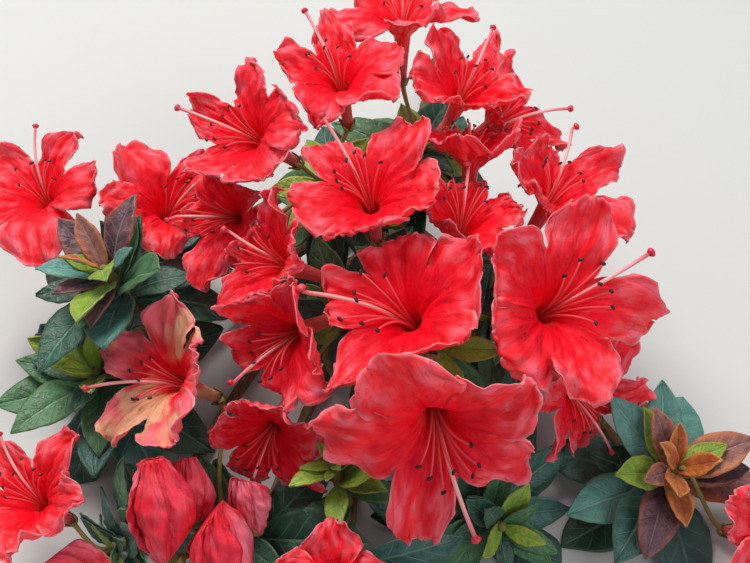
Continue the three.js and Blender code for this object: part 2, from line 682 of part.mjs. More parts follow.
function groupOf(name) {
  const group = new THREE.Group();
  group.name = name;
  branch.add(group);
  return group;
}

function add(group, name, solid, color, roughness) {
  const material = new THREE.MeshStandardMaterial({ color, roughness, metalness: 0 });
  const mesh = new THREE.Mesh(fromSolid(solid), material);
  mesh.name = name;
  group.add(mesh);
  taken.push(solid);
}

const wood = groupOf('wood');
add(wood, 'main_stem', stemSolid(), BARK_BROWN, 0.9);
for (const shoot of shoots) add(wood, `shoot_${shoot.name}`, shootSolid(shoot), BARK_BROWN, 0.9);

const flowers = groupOf('flowers');
for (const piece of pieces) {
  if (piece.base) add(flowers, piece.name, budSolid(piece), BUD_RED, 0.5);
  else add(flowers, piece.name, bloomSolid(piece), PETAL_RED, 0.55);
}

const foliage = groupOf('foliage');
for (const shoot of shoots) {
  const stems = shoots.filter((other) => other !== shoot).map(leafyStem);
  const solid = leafMass(shoot, [...taken, ...stems]);
  add(foliage, `leaves_${shoot.name}`, solid, shoot.color ?? LEAF_GREEN, 0.4);
}

export default branch;
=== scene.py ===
"""The look of a red azalea branch, cut and laid on the ground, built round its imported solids.

Each bloom, bud, leaf, stalk and limb repeats the rule that shaped its solid, with far finer
surfaces. Lengths are in millimetres until a piece is built, and then in metres.
"""
import math
from functools import partialmethod
from math import pi, radians

import bpy
import numpy as np
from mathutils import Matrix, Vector
from mathutils.bvhtree import BVHTree


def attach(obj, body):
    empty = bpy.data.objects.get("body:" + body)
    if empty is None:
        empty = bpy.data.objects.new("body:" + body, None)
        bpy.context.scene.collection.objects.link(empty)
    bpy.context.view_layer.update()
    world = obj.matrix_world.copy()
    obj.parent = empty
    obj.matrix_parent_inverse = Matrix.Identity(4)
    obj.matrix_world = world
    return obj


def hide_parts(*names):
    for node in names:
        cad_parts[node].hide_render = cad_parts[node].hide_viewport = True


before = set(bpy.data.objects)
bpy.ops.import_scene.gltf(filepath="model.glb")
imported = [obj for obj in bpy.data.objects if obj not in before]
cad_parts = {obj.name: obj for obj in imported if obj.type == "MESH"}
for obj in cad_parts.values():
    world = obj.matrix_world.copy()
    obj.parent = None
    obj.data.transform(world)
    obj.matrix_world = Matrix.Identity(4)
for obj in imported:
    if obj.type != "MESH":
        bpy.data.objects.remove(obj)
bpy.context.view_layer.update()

# The flower head's own frame, and where the branch is set down.
HEAD_LEAN = 40
HEAD_MIDDLE = np.array([0.0, -40, 58])
SET_DOWN = np.array([-1.5, 5.3, 0])

SEAT_GAP = 0.3
CELL_GAP = 0.85
GROUND_GAP = 0.7

STEM_CURVE = [(25, 112, 4.6), (15, 52, 4.6), (2, 28, 5.5), (5, -11, 17)]
STEM_RADII = (4.6, 2.7)
SHOOT_RADIUS = 1.9
LOWEST_LIMB = 3.2
ROUTE_POINTS = 7
ROUTE_CLEAR = 7

FLOWERING = {"stem": 14, "youngest": 62}
LEAFY = {"stem": 18, "youngest": 22}
GOLDEN_ANGLE = 137.5

NOMINAL_BLOOM = 52
PETALS = 5
HALF_SECTOR = 180 / PETALS
THROAT_RADIUS = 2.3
SINUS = 0.38
TUBE_LENGTH = 15
STALK_START = 12.5
STALK_RADIUS = 0.75
STALK_LENGTH = 26
BUD_STALK = 9
BUD_HEEL = 0.2
PISTIL = {"forward": 15, "sideways": 19}
ORGAN_ROOT = 5.5
STALK_CELL = {"reach": 3.5, "core": 1.6}
TUBE_CELL = {"reach": 6, "core": 3.4}
PRESS_REACH = 15
PRESS_SOFTNESS = 4
PRESS_PASSES = 10


class Part(dict):
    """Values that are read by their names."""
    __getattr__ = dict.__getitem__


def bloom(name, at, turn, nod, size, opened, roll, pistil, faded=0.0):
    return Part(name=name, at=at, turn=turn, nod=nod, size=size, open=opened, roll=roll, pistil=pistil,
                faded=faded)


def bud(name, base, tip, radius):
    return Part(name=name, bud_base=base, tip=tip, radius=radius)


# The leaves' colours on most shoots, from the oldest to the youngest.
OLD = "dark blue dark green blue dark green young"


def planned(name, start, leaves, leaf, spread, carried=(), kinds=OLD, **leafy):
    """A shoot: where on the stem it starts, its leaves' number, length and spread, and what it carries.
    A leafy one also has its end and the way it points."""
    return Part(name=name, start=start, leaves=leaves, leaf=leaf, spread=spread, kinds=kinds.split(),
                carried=carried, **leafy)


# The shoots in order from the cut, as the solids have them.
SHOOTS = [
    planned("far_left", 0.3, 10, 33, 92, [
        bloom("far_left", (-95, 22, -36), -22, 34, 50, 0.8, 15, 350),
        bloom("left_back", (-61, 19, -37), 18, 32, 50, 0.6, 40, 60)]),
    planned("top", 0.42, 13, 32, 96, [
        bloom("back", (8, 72, -38), 0, 56, 52, 0.8, 20, 0),
        bloom("upper_right", (23, 49, -19), 22, 34, 50, 0.7, 50, 30),
        bloom("far_right", (33, 44, -31), 48, 24, 54, 0.7, 30, 90)]),
    planned("left_leafy", 0.46, 15, 35, 80, end=(-73, 4, -9), points=(-22, 36), kinds=(
        "dark blue dark blue blue pale dark green purple young purple pale young bronze orange")),
    planned("upper_left", 0.52, 13, 33, 96, [
        bloom("upper_left", (-31, 38, -15), -40, 18, 54, 0.85, 0, 285),
        bloom("top", (-9, 52, -13), -8, 36, 50, 0.85, -10, 328),
        bloom("mid_left", (-38, 18, -22), -34, 0, 50, 0.6, 50, 270)]),
    planned("left_low", 0.58, 12, 35, 86, end=(-77, -24, -16), points=(-8, 26)),
    planned("right_leafy", 0.62, 14, 33, 78, [
        bloom("low_right", (100, -65, -2), 26, 12, 46, 0.6, 10, 120)],
        end=(80, -49, -5), points=(10, 24), kinds=(
        "dark blue pale blue bronze pale purple bronze young orange bronze orange orange orange")),
    planned("corner", 0.7, 9, 30, 88, [
        bloom("corner", (-86, -58, 1), -24, 28, 46, 0.6, 25, 325),
        bud("corner", (-68, -73, 4), (-84, -68, 10), 4.8)]),
    planned("right", 0.76, 11, 35, 98, [
        bloom("right", (42, -8, 15), 22, 14, 63, 0.95, 20, 62),
        bloom("right_top", (46, 20, -9), 32, 44, 54, 0.7, 0, 30),
        bloom("right_under", (52, -29, -12), 38, -26, 46, 0.6, 9, 140)]),
    planned("left", 0.82, 13, 34, 98, [
        bloom("left", (-23, 4, -4), -50, 14, 54, 0.7, 10, 300),
        bloom("low_left", (-20, -13, 3), -40, -14, 54, 0.7, 40, 230),
        bloom("under_left", (-27, -38, -8), -20, -30, 50, 0.6, 0, 200)]),
    planned("buds", 0.9, 10, 32, 86, [
        bloom("nodding", (-51, -27, -6), -36, 20, 54, 0.45, 0, 250, faded=1.0),
        bud("big_left", (-50, -72, 12), (-55, -43, 17), 8),
        bud("wrinkled", (-46, -65, 1), (-48, -41, 5), 5.6),
        bud("dark", (-31, -66, -2), (-34, -47, 5), 5.2),
        bud("big_low", (-37, -83, 9), (-40, -53, 18), 8)]),
    planned("low_front", 0.84, 9, 34, 88, [
        bloom("bottom", (-11, -79, 9), -4, 32, 42, 0.5, 0, 180)]),
    planned("low_leafy", 0.93, 10, 35, 84, end=(34, -65, -4), points=(20, -6)),
    planned("young", 0.97, 8, 21, 60, end=(-11, -46, 3), points=(-14, 44),
            kinds="green young young young"),
    planned("centre", 0.98, 12, 32, 100, [
        bloom("centre", (-1, 19, 5), -6, 30, 56, 0.8, 30, 325),
        bloom("inner_right", (22, 12, 0), 10, 44, 52, 0.5, 15, 10),
        bloom("inner_top", (26, 31, -14), 4, 60, 50, 0.5, 60, 0)]),
    planned("front", 1, 12, 36, 104, [
        bloom("front", (14, -31, 28), 3, -36, 66, 0.9, 46, 157),
        bloom("middle", (9, -10, 14), -22, 26, 66, 0.9, -11, 268)]),
]


# Numbers and directions

def chance(*keys):
    """A number from 0 to 1 that is always the same for the same keys."""
    total = 4.137
    for key in keys:
        total = total * 1.731 + key * 12.9898
    wave = math.sin(total) * 43758.5453
    return wave - math.floor(wave)


def swing(*keys):
    return 2 * chance(*keys) - 1


def smooth(x, low, high):
    x = np.clip((np.asarray(x, float) - low) / (high - low), 0, 1)
    return x * x * (3 - 2 * x)


def hump(x, width):
    return np.exp(-((x / width) ** 2))


def ripple(seed, *coords):
    """A smooth random height, mostly within 1 of 0, with bumps about one unit of coords apart."""
    total, waves = 0.0, 7
    for wave in range(waves):
        turn = 2 * pi * chance(seed, wave, 0)
        for axis, coord in enumerate(coords):
            turn = turn + 2 * pi * swing(seed, wave, axis + 1) * coord
        total = total + np.sin(turn)
    return total / math.sqrt(waves)


def unit(v):
    return np.asarray(v, float) / np.linalg.norm(v)


def lean(v):
    c, s = math.cos(radians(HEAD_LEAN)), math.sin(radians(HEAD_LEAN))
    return np.array([v[0], c * v[1] - s * v[2], s * v[1] + c * v[2]])


HEAD_UP = lean((0, 1, 0))
HEAD_OUT = lean((0, 0, 1))


def place(spot):
    return lean(spot) + HEAD_MIDDLE


def facing(turn, nod):
    t, n = radians(turn), radians(nod)
    return lean((math.sin(t) * math.cos(n), math.sin(n), math.cos(t) * math.cos(n)))


def bezier(controls, t):
    t = np.asarray(t, float)[..., None]
    order = len(controls) - 1
    return sum(math.comb(order, i) * (1 - t) ** (order - i) * t ** i * np.asarray(c, float)
               for i, c in enumerate(controls))


def tangent(controls, t):
    steps = [np.subtract(b, a) for a, b in zip(controls, controls[1:])]
    return unit(bezier(steps, t))


def bend(start, start_way, end, end_way, turn=math.inf):
    third = np.linalg.norm(end - start) / 3
    return [start, start + third * start_way, end - min(turn, third) * end_way, end]


def about(spot, axis, right, over, forward, out, angle):
    """Points round an axis: how far forward on it each one is, how far out and at which angle."""
    return (spot + forward[..., None] * axis + (out * np.cos(angle))[..., None] * right
            + (out * np.sin(angle))[..., None] * over).reshape(-1, 3)


# The plan of the branch, worked out from its ends inwards as for the solids

def bloom_from(row, seed):
    axis = facing(row.turn, row.nod)
    right = unit(np.cross(HEAD_UP, axis))
    throat = place(row.at)
    heel = throat - STALK_START * row.size / NOMINAL_BLOOM * axis
    return Part(row, seed=seed, throat=throat, axis=axis, right=right, up=np.cross(axis, right),
                heel=heel, scale=row.size / NOMINAL_BLOOM)


def bud_from(row, seed):
    base, point = place(row.bud_base), place(row.tip)
    return Part(row, seed=seed, base=base, point=point, axis=unit(point - base),
                heel=base + BUD_HEEL * (point - base))


def shoot_from(row, index):
    carried = []
    for i, item in enumerate(row.carried):
        shape = bud_from if "tip" in item else bloom_from
        carried.append(shape(item, 10 * index + i))
    start = bezier(STEM_CURVE, row.start)
    if "end" in row:
        crown, axis = place(row.end), facing(*row.points)
    else:
        crown, axis = np.zeros(3), np.zeros(3)
        for piece in carried:
            stalk = BUD_STALK if "tip" in piece else (STALK_LENGTH - STALK_START) * piece.scale
            crown += (piece.heel - stalk * piece.axis) / len(carried)
            axis += piece.axis
        axis = unit(0.5 * unit(crown - start) + 0.5 * unit(axis))
    habit = LEAFY if "end" in row else FLOWERING
    crown[2] = max(crown[2], LOWEST_LIMB + 1)
    axis[2] = min(axis[2], (crown[2] - LOWEST_LIMB) / habit["stem"])
    axis = unit(axis)
    right = unit(np.cross((0, 0, 1), axis))
    ring = 0.55 + 0.3 * len(carried) if carried else 0.9
    row = Part(row, **habit, seed=400 + index, crown=crown, axis=axis, right=right, ring=ring)
    return Part(row, carried=carried, foot=crown - habit["stem"] * axis, over=np.cross(axis, right))


def seat_stalks(shoot):
    def bearing(piece):
        aim = piece.heel - shoot.crown
        return math.atan2(aim @ shoot.over, aim @ shoot.right)

    ordered = sorted(shoot.carried, key=bearing)
    step = 2 * pi / len(ordered)
    start = sum(bearing(piece) - i * step for i, piece in enumerate(ordered)) / len(ordered)
    for i, piece in enumerate(ordered):
        angle = start + i * step
        aside = shoot.ring * (math.cos(angle) * shoot.right + math.sin(angle) * shoot.over)
        seat = shoot.crown + SEAT_GAP * shoot.axis + aside
        piece["stalk"] = bend(piece.heel, -piece.axis, seat, -shoot.axis)


def limb_route(shoot):
    """The points of a shoot's limb, from the stem's bark to the foot of its leafy stem, and its first way."""
    start, along = bezier(STEM_CURVE, shoot.start), tangent(STEM_CURVE, shoot.start)
    towards = shoot.foot - start
    aside = unit(towards - (towards @ along) * along)
    if shoot.start == 1:
        away, first = along, SEAT_GAP
    else:
        away = unit(0.65 * aside + 0.35 * along)
        radius = STEM_RADII[0] + (STEM_RADII[1] - STEM_RADII[0]) * shoot.start
        first = (radius + SEAT_GAP + 0.45 * SHOOT_RADIUS) / (away @ aside)
    turn = 3 + 0.35 * (shoot.foot[2] - LOWEST_LIMB) / max(shoot.axis[2], 0.1)
    controls = bend(start + first * away, away, shoot.foot, shoot.axis, turn)
    route = bezier(controls, np.linspace(0, 1, ROUTE_POINTS))
    kept = [p for p in route[:-1] if np.linalg.norm(p - shoot.foot) > ROUTE_CLEAR]
    points = np.array(kept + [shoot.foot])
    points[:, 2] = np.maximum(points[:, 2], LOWEST_LIMB)
    return points, away


def cell_of(piece):
    if "tip" in piece:
        return Part(name=piece.name + "_bud", middle=(piece.base + piece.point) / 2,
                    reach=piece.radius + 3, core=piece.radius)
    return Part(name=piece.name, middle=piece.throat + 0.14 * piece.size * piece.axis,
                reach=0.4 * piece.size, core=0)


def stalk_cells_of(piece):
    name = cell_of(piece).name
    cells = [Part(STALK_CELL, name=name, middle=p) for p in bezier(piece.stalk, np.linspace(0, 1, 4))]
    if "tip" not in piece:
        cells += [Part(TUBE_CELL, name=name, middle=piece.throat + d * piece.axis) for d in (-3, -8)]
    return cells


def walls_of(piece, cells):
    cell, walls = cell_of(piece), []
    for other in cells:
        if other.name == cell.name:
            continue
        towards = other.middle - cell.middle
        distance = np.linalg.norm(towards)
        fair = 0.5 + (cell.reach ** 2 - other.reach ** 2) / (2 * distance ** 2)
        share = max(cell.core / distance, min(fair, 1 - other.core / distance))
        walls.append((cell.middle + share * towards, towards / distance, CELL_GAP))
    return walls + [(np.zeros(3), np.array([0.0, 0, -1]), GROUND_GAP)]


def press(points, walls, softness):
    """Moves points off their walls: gently within softness of one, then wholly."""
    near = [w for w in walls if np.max((points - w[0]) @ w[1]) + w[2] > -PRESS_REACH]
    for spot, away, gap in near:
        over = (points - spot) @ away + gap + softness
        held = softness * (1 - np.exp(-np.maximum(over, 0) / softness)) - over
        points = points + np.where(over > 0, held, 0)[:, None] * away
    for _ in range(PRESS_PASSES):
        for spot, away, gap in near:
            points = points - np.maximum((points - spot) @ away + gap, 0)[:, None] * away
    return points


shoots = [shoot_from(row, index) for index, row in enumerate(SHOOTS)]
for shoot in shoots:
    if shoot.carried:
        seat_stalks(shoot)
pieces = [piece for shoot in shoots for piece in shoot.carried]
all_cells = [cell_of(piece) for piece in pieces] + [c for piece in pieces for c in stalk_cells_of(piece)]
for piece in pieces:
    piece["walls"] = walls_of(piece, all_cells)


# Surfaces

class Gathered:
    """Surfaces that will share one object. marks are numbers kept at each corner for the material."""

    def __init__(self, *marks):
        self.points, self.faces, self.marks, self.count = [], [], {mark: [] for mark in marks}, 0

    def add(self, points, faces, **marks):
        self.faces.extend((np.asarray(face) + self.count).tolist() for face in faces)
        self.points.append(points)
        for name, kept in self.marks.items():
            kept.append(np.broadcast_to(marks.get(name, 0.0), len(points)))
        self.count += len(points)

    def add_sheet(self, points, quads, half, **marks):
        """Adds both sides of a sheet, whose marks are given for one side."""
        both, faces = thickened(points, quads, half)
        marks = {name: np.tile(np.broadcast_to(value, len(points)), 2) for name, value in marks.items()}
        self.add(both, faces, inner=np.repeat([1.0, 0.0], len(points)), **marks)

    def add_tube(self, line, radii, sides, relief=None, start=0, span=1, tone=0.0):
        """Adds a tube, whose mark along it begins at start and rises by span."""
        points, faces, far = tube(line, radii, sides, relief)
        self.add(points, faces, along=start + span * far / far[-1], tone=tone)

    def tree(self):
        return BVHTree.FromPolygons(np.concatenate(self.points).tolist(), self.faces)


def linked(name, data):
    made = bpy.data.objects.new(name, data)
    bpy.context.scene.collection.objects.link(made)
    return made


def build(name, gathered, material, nodes):
    """Makes one object, which rides with the branch and stands for the solids it is drawn over."""
    mesh = bpy.data.meshes.new(name)
    mesh.from_pydata((np.concatenate(gathered.points) + SET_DOWN) / 1000, [], gathered.faces)
    for mark, values in gathered.marks.items():
        kept = mesh.attributes.new(mark, "FLOAT", "POINT")
        kept.data.foreach_set("value", np.concatenate(values).astype(np.float32))
    mesh.shade_smooth()
    mesh.materials.append(material)
    made = linked(name, mesh)
    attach(made, "root")
    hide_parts(*nodes)


def grid(rows, columns, wrap=False):
    """The four corners of each cell of a grid of points."""
    row, column = np.meshgrid(np.arange(rows - 1), np.arange(columns - (not wrap)), indexing="ij")
    row, column = row.ravel(), column.ravel()
    after = (column + 1) % columns
    return np.stack([row * columns + column, row * columns + after,
                     (row + 1) * columns + after, (row + 1) * columns + column], axis=1)


def normals_of(points, quads):
    faces = np.cross(points[quads[:, 2]] - points[quads[:, 0]], points[quads[:, 3]] - points[quads[:, 1]])
    normals = np.zeros_like(points)
    for corner in range(4):
        np.add.at(normals, quads[:, corner], faces)
    return normals / np.maximum(np.linalg.norm(normals, axis=1), 1e-9)[:, None]


def thickened(points, quads, half):
    """Both sides of a surface, joined along its open edges."""
    normals = normals_of(points, quads)
    count = len(points)
    edges = np.concatenate([quads[:, [i, (i + 1) % 4]] for i in range(4)])
    keys = edges[:, 0] * count + edges[:, 1]
    rim = edges[~np.isin(keys, edges[:, 1] * count + edges[:, 0])]
    strips = np.stack([rim[:, 0], rim[:, 0] + count, rim[:, 1] + count, rim[:, 1]], axis=1)
    half = np.broadcast_to(half, count)[:, None]
    both = np.concatenate([points + half * normals, points - half * normals])
    return both, np.concatenate([quads, quads[:, ::-1] + count, strips])


def travelled(points):
    return np.concatenate([[0], np.cumsum(np.linalg.norm(np.diff(points, axis=0), axis=1))])


def tube(points, radii, sides, relief=None):
    """Rings of points round a line. relief gives each ring's height over its radius."""
    points = np.asarray(points, float)
    radii = np.broadcast_to(radii, len(points))
    far = travelled(points)
    angles = np.arange(sides) * 2 * pi / sides
    across = np.array([1.0, 0, 0])
    rings = []
    for i, point in enumerate(points):
        along = unit(points[min(i + 1, len(points) - 1)] - points[max(i - 1, 0)])
        if i == 0 and abs(along[0]) > 0.9:
            across = np.array([0.0, 1, 0])
        across = unit(across - (across @ along) * along)
        over = np.cross(along, across)
        radius = radii[i] + (relief(angles, far[i]) if relief else 0)
        out = np.cos(angles)[:, None] * across + np.sin(angles)[:, None] * over
        rings.append(point + np.reshape(radius, (-1, 1)) * out)
    quads = grid(len(points), sides, wrap=True)
    ends = [list(range(sides))[::-1], list(range((len(points) - 1) * sides, len(points) * sides))]
    return np.concatenate(rings), list(quads) + ends, np.repeat(far, sides)


def along_line(points, count):
    """Evenly spaced points on a smooth line through the given ones."""
    spans = travelled(points)
    slopes = np.gradient(points, spans, axis=0)
    found = []
    for s in np.linspace(0, spans[-1], count):
        i = min(np.searchsorted(spans, s, side="right") - 1, len(points) - 2)
        h = spans[i + 1] - spans[i]
        x = (s - spans[i]) / h
        found.append((2 * x ** 3 - 3 * x ** 2 + 1) * points[i] + (x ** 3 - 2 * x ** 2 + x) * h * slopes[i]
                     + (3 * x ** 2 - 2 * x ** 3) * points[i + 1] + (x ** 3 - x ** 2) * h * slopes[i + 1])
    return np.array(found)


# Blooms

PETAL_COLUMNS = 29
TUBE_DEPTH = 0.45
TUBE_NECK = 1.3
TUBE_ROWS = np.linspace(-TUBE_DEPTH, 0, 5)[:-1]
FUNNEL_ROWS = np.linspace(0, SINUS, 8)
LOBE_ROWS = SINUS + (1 - SINUS) * np.linspace(0, 1, 25)[1:] ** 0.9
ROWS = np.concatenate([TUBE_ROWS, FUNNEL_ROWS, LOBE_ROWS])
SHARED_ROWS = len(TUBE_ROWS) + len(FUNNEL_ROWS)
PETAL_HALF = 0.16


def petal_line(flower, petal, t):
    """How far out from the throat's middle and how far forward a petal's midline is."""
    opened = flower.open
    r, z = np.moveaxis(bezier([(0, 0), (3, 6.5), (9 + 3.5 * opened, 12 - 2.5 * opened),
                               (17 + 6 * opened, 17 - 12 * opened)], t), -1, 0)
    ease = smooth(t, 0.3, 1)
    grown = 1 + 0.11 * ease * swing(flower.seed, petal, 1)
    tilt = radians(15) * ease * swing(flower.seed, petal, 2)
    return (THROAT_RADIUS + grown * (r * np.cos(tilt) + z * np.sin(tilt)),
            grown * (z * np.cos(tilt) - r * np.sin(tilt)))


def petal_points(flower, petal, u, t):
    """Points of a petal: u runs from -1 to 1 across it, and t from 0 at the throat to 1 at its edge.
    Below 0 the tube narrows to the calyx."""
    seed, k = flower.seed, flower.scale
    scallop = 0.02 * np.sin(7 * u + 9 * chance(seed, petal, 11))
    scallop = scallop + 0.006 * np.sin(19 * u + 5 * chance(seed, petal, 12))
    edge_t = (t - SINUS) * (1 - 0.48 * np.abs(u) ** 2.6 + scallop)
    reached = np.where(t > SINUS, SINUS + edge_t, np.maximum(t, 0))
    free = np.maximum(0, (reached - SINUS) / (1 - SINUS))
    r, z = petal_line(flower, petal, reached)
    r2, z2 = petal_line(flower, petal, reached + 0.01)
    slope = np.arctan2(z2 - z, r2 - r)
    turn = flower.roll + petal * 2 * HALF_SECTOR
    apart = 0.5 + 0.5 * math.cos(radians(turn - flower.pistil))
    parting = np.minimum(1.5 + 8 * apart, (6 + 26 * apart) * free)
    overlap = (1 - apart) * smooth(free, 0, 0.12) * (1 - smooth(free, 0.3, 0.7))
    narrowed = free ** 2 * (19 + 4 * swing(seed, petal, 3))
    aside = np.radians(u * (HALF_SECTOR + 6 * overlap - narrowed - parting * (1 - overlap)))
    radius = r * (1 + smooth(reached, 0.1, 0.45) * (1 / np.cos(aside) - 1))
    strayed = 8 * free ** 2 * swing(seed, petal, 7)
    turned = np.radians(turn + strayed) + aside
    phase = 2 * pi * chance(seed, petal, 4)
    side = np.sign(u) * np.minimum(1, np.abs(u) * 8)
    wavy = 0.7 + 0.9 * chance(seed, petal, 8)
    ruffle = 2.8 * wavy * free * np.abs(u) ** 1.3 * np.sin(6.6 * free + phase + 1.6 * side)
    rim = 1.7 * wavy * free ** 3 * np.sin(3.4 * u + 2 * phase)
    curl = free * (3.8 * u * u * swing(seed, petal, 5) + 3 * u * swing(seed, petal, 6))
    groove = -1.1 * free * hump(u, 0.25)
    ridge = 1.1 * u ** 4 * smooth(reached, 0.05, SINUS) * (1 - smooth(free, 0, 0.4))
    tuck = 0.9 * overlap * u * np.abs(u)
    crease = -0.7 * hump(u, 0.16) * smooth(reached, -0.02, 0.15) * (1 - smooth(free, 0, 0.5))
    edge = np.maximum(np.abs(u) ** 3, smooth(t, 0.75, 1))
    frill = free * edge * (
        0.7 * wavy * np.sin(11 * free + 5 * u + phase) + 0.3 * wavy * np.sin(24 * free + 9 * u)
        + 0.5 * ripple(seed * 7 + petal, 4 * u, 4 * t))
    lift = ruffle + rim + curl + groove + ridge + tuck + crease + frill
    outward = radius - lift * np.sin(slope)
    forward = z + lift * np.cos(slope)
    depth = np.maximum(0, -t) / TUBE_DEPTH
    outward = np.where(t < 0, TUBE_NECK + (THROAT_RADIUS - TUBE_NECK) * (1 - depth) ** 1.5, outward)
    forward = np.where(t < 0, -TUBE_LENGTH * depth, forward)
    points = about(flower.throat, flower.axis, flower.up, flower.right, k * forward, k * outward,
                   turned)
    return points, reached


def corolla(flower):
    """The tube and five lobes as one thin sheet, with the marks for its material."""
    seed, shape = flower.seed, (PETALS, len(ROWS), PETAL_COLUMNS)
    u, t = np.meshgrid(np.linspace(-1, 1, PETAL_COLUMNS), ROWS)
    found = [petal_points(flower, petal, u.ravel(), t.ravel()) for petal in range(PETALS)]
    lobes = np.array([points for points, _ in found]).reshape(*shape, 3)
    index = np.arange(PETALS * u.size).reshape(shape)
    shared = slice(0, SHARED_ROWS)
    for petal in range(PETALS):
        after = (petal + 1) % PETALS
        mean = (lobes[petal, shared, -1] + lobes[after, shared, 0]) / 2
        lobes[petal, shared, -1] = lobes[after, shared, 0] = mean
        index[petal, shared, -1] = index[after, shared, 0]
    used, packed = np.unique(index, return_inverse=True)
    quads = np.concatenate([lobe[grid(*shape[1:])] for lobe in packed.reshape(PETALS, -1)])
    reached = np.concatenate([far for _, far in found])[used]
    across, down = (np.tile(part.ravel(), PETALS)[used] for part in (u, t))
    lobe = np.repeat(np.arange(PETALS), u.size)[used]
    softness = PRESS_SOFTNESS * smooth(reached, 0, 0.3) + 0.05
    points = press(lobes.reshape(-1, 3)[used], flower.walls, softness)
    free = smooth(down, 0.1, 0.6)
    pleat = 0.2 * np.sin(2 * pi * (4.6 * across + 0.35 * ripple(seed + 51, 1.3 * across, down)) + lobe)
    pucker = 0.44 * ripple(seed + 61, 2.4 * across + 3.7 * lobe, 3.1 * down)
    pucker = pucker + 0.2 * ripple(seed + 71, 6 * across + 2.1 * lobe, 7 * down)
    points = points + (free * (pleat + pucker))[:, None] * normals_of(points, quads)
    dorsal = radians(flower.pistil + 180 - flower.roll) - lobe * 2 * pi / PETALS
    edge = np.maximum(smooth(np.abs(across), 0.9, 1) * smooth(down, 0.5, 0.6), smooth(down, 0.955, 1))
    gathered = Gathered("across", "along", "tone", "blotch", "edge", "faded", "inner")
    gathered.add_sheet(
        points, quads, PETAL_HALF * (1 - 0.35 * edge), across=across, along=down, edge=edge,
        tone=np.array([chance(seed, petal, 21) for petal in range(PETALS)])[lobe],
        blotch=np.clip(np.cos(dorsal), 0, 1) ** 2, faded=flower.faded)
    return gathered


# Each stamen's turn from the pistil, and how far forward and sideways it reaches.
STAMENS = [(-60, 8, 6), (-40, 10, 8), (-21, 9, 10.5), (-7, 11, 6.5), (15, 9, 10), (34, 10, 8), (56, 8, 6.5)]
PISTIL_POINTS = 20
FILAMENT_POINTS = 16
KNOB_STEPS = np.array([-0.5, -0.25, 0.1, 0.5, 0.8, 0.95])
KNOB_RADII = np.array([0.42, 0.75, 0.98, 0.95, 0.6, 0.2])
ANTHER_HALF = 0.64
ANTHER_STEPS = np.array([-1, -0.8, -0.35, 0.35, 0.8, 1])
ANTHER_RADII = np.array([0.13, 0.31, 0.4, 0.4, 0.31, 0.13])


def organ_line(flower, direction, forward, sideways, count):
    k, turn = flower.scale, radians(direction)
    way = math.sin(turn) * flower.right + math.cos(turn) * flower.up
    throat, axis = flower.throat, flower.axis
    controls = [throat - ORGAN_ROOT * k * axis + 0.05 * sideways * k * way,
                throat + 0.75 * forward * k * axis + 0.12 * sideways * k * way,
                throat + forward * k * axis + sideways * k * way]
    return press(bezier(controls, np.linspace(0, 1, count)), flower.walls, softness=0.3)


def add_organs(flower, filaments, anthers, pistils):
    seed, k = flower.seed, flower.scale
    tone = chance(seed, 31)
    line = organ_line(flower, flower.pistil, PISTIL["forward"], PISTIL["sideways"], PISTIL_POINTS)
    pistils.add_tube(line, np.linspace(0.36, 0.44, PISTIL_POINTS) * k, sides=10, tone=tone)
    way = unit(line[-1] - line[-2])
    pistils.add_tube(line[-1] + (KNOB_STEPS * k)[:, None] * way, KNOB_RADII * k, sides=12,
                     relief=lambda angles, s: 0.07 * np.cos(5 * angles), start=1.3, span=0, tone=tone)
    for number, (turn, forward, sideways) in enumerate(STAMENS):
        direction = flower.pistil + turn + 7 * swing(seed, number, 32)
        longer = 1 + 0.12 * swing(seed, number, 33)
        line = organ_line(flower, direction, forward * longer, sideways * longer, FILAMENT_POINTS)
        filaments.add_tube(line, np.linspace(0.3, 0.2, FILAMENT_POINTS) * k, sides=8,
                           tone=chance(seed, number, 34))
        way = unit(line[-1] - line[-2])
        lying = unit(np.cross(way, lean((swing(seed, number, 35), swing(seed, number, 36), 1))))
        lying = unit(lying + 0.8 * way)
        rings = line[-1] + 0.2 * k * way + (ANTHER_HALF * k * ANTHER_STEPS)[:, None] * lying
        anthers.add_tube(rings, ANTHER_RADII * k, sides=10, span=0, tone=chance(seed, number, 37),
                         relief=lambda angles, s: -0.1 * np.abs(np.cos(angles)) ** 6)


STALK_POINTS = 28
SEPAL_HALF = 0.16


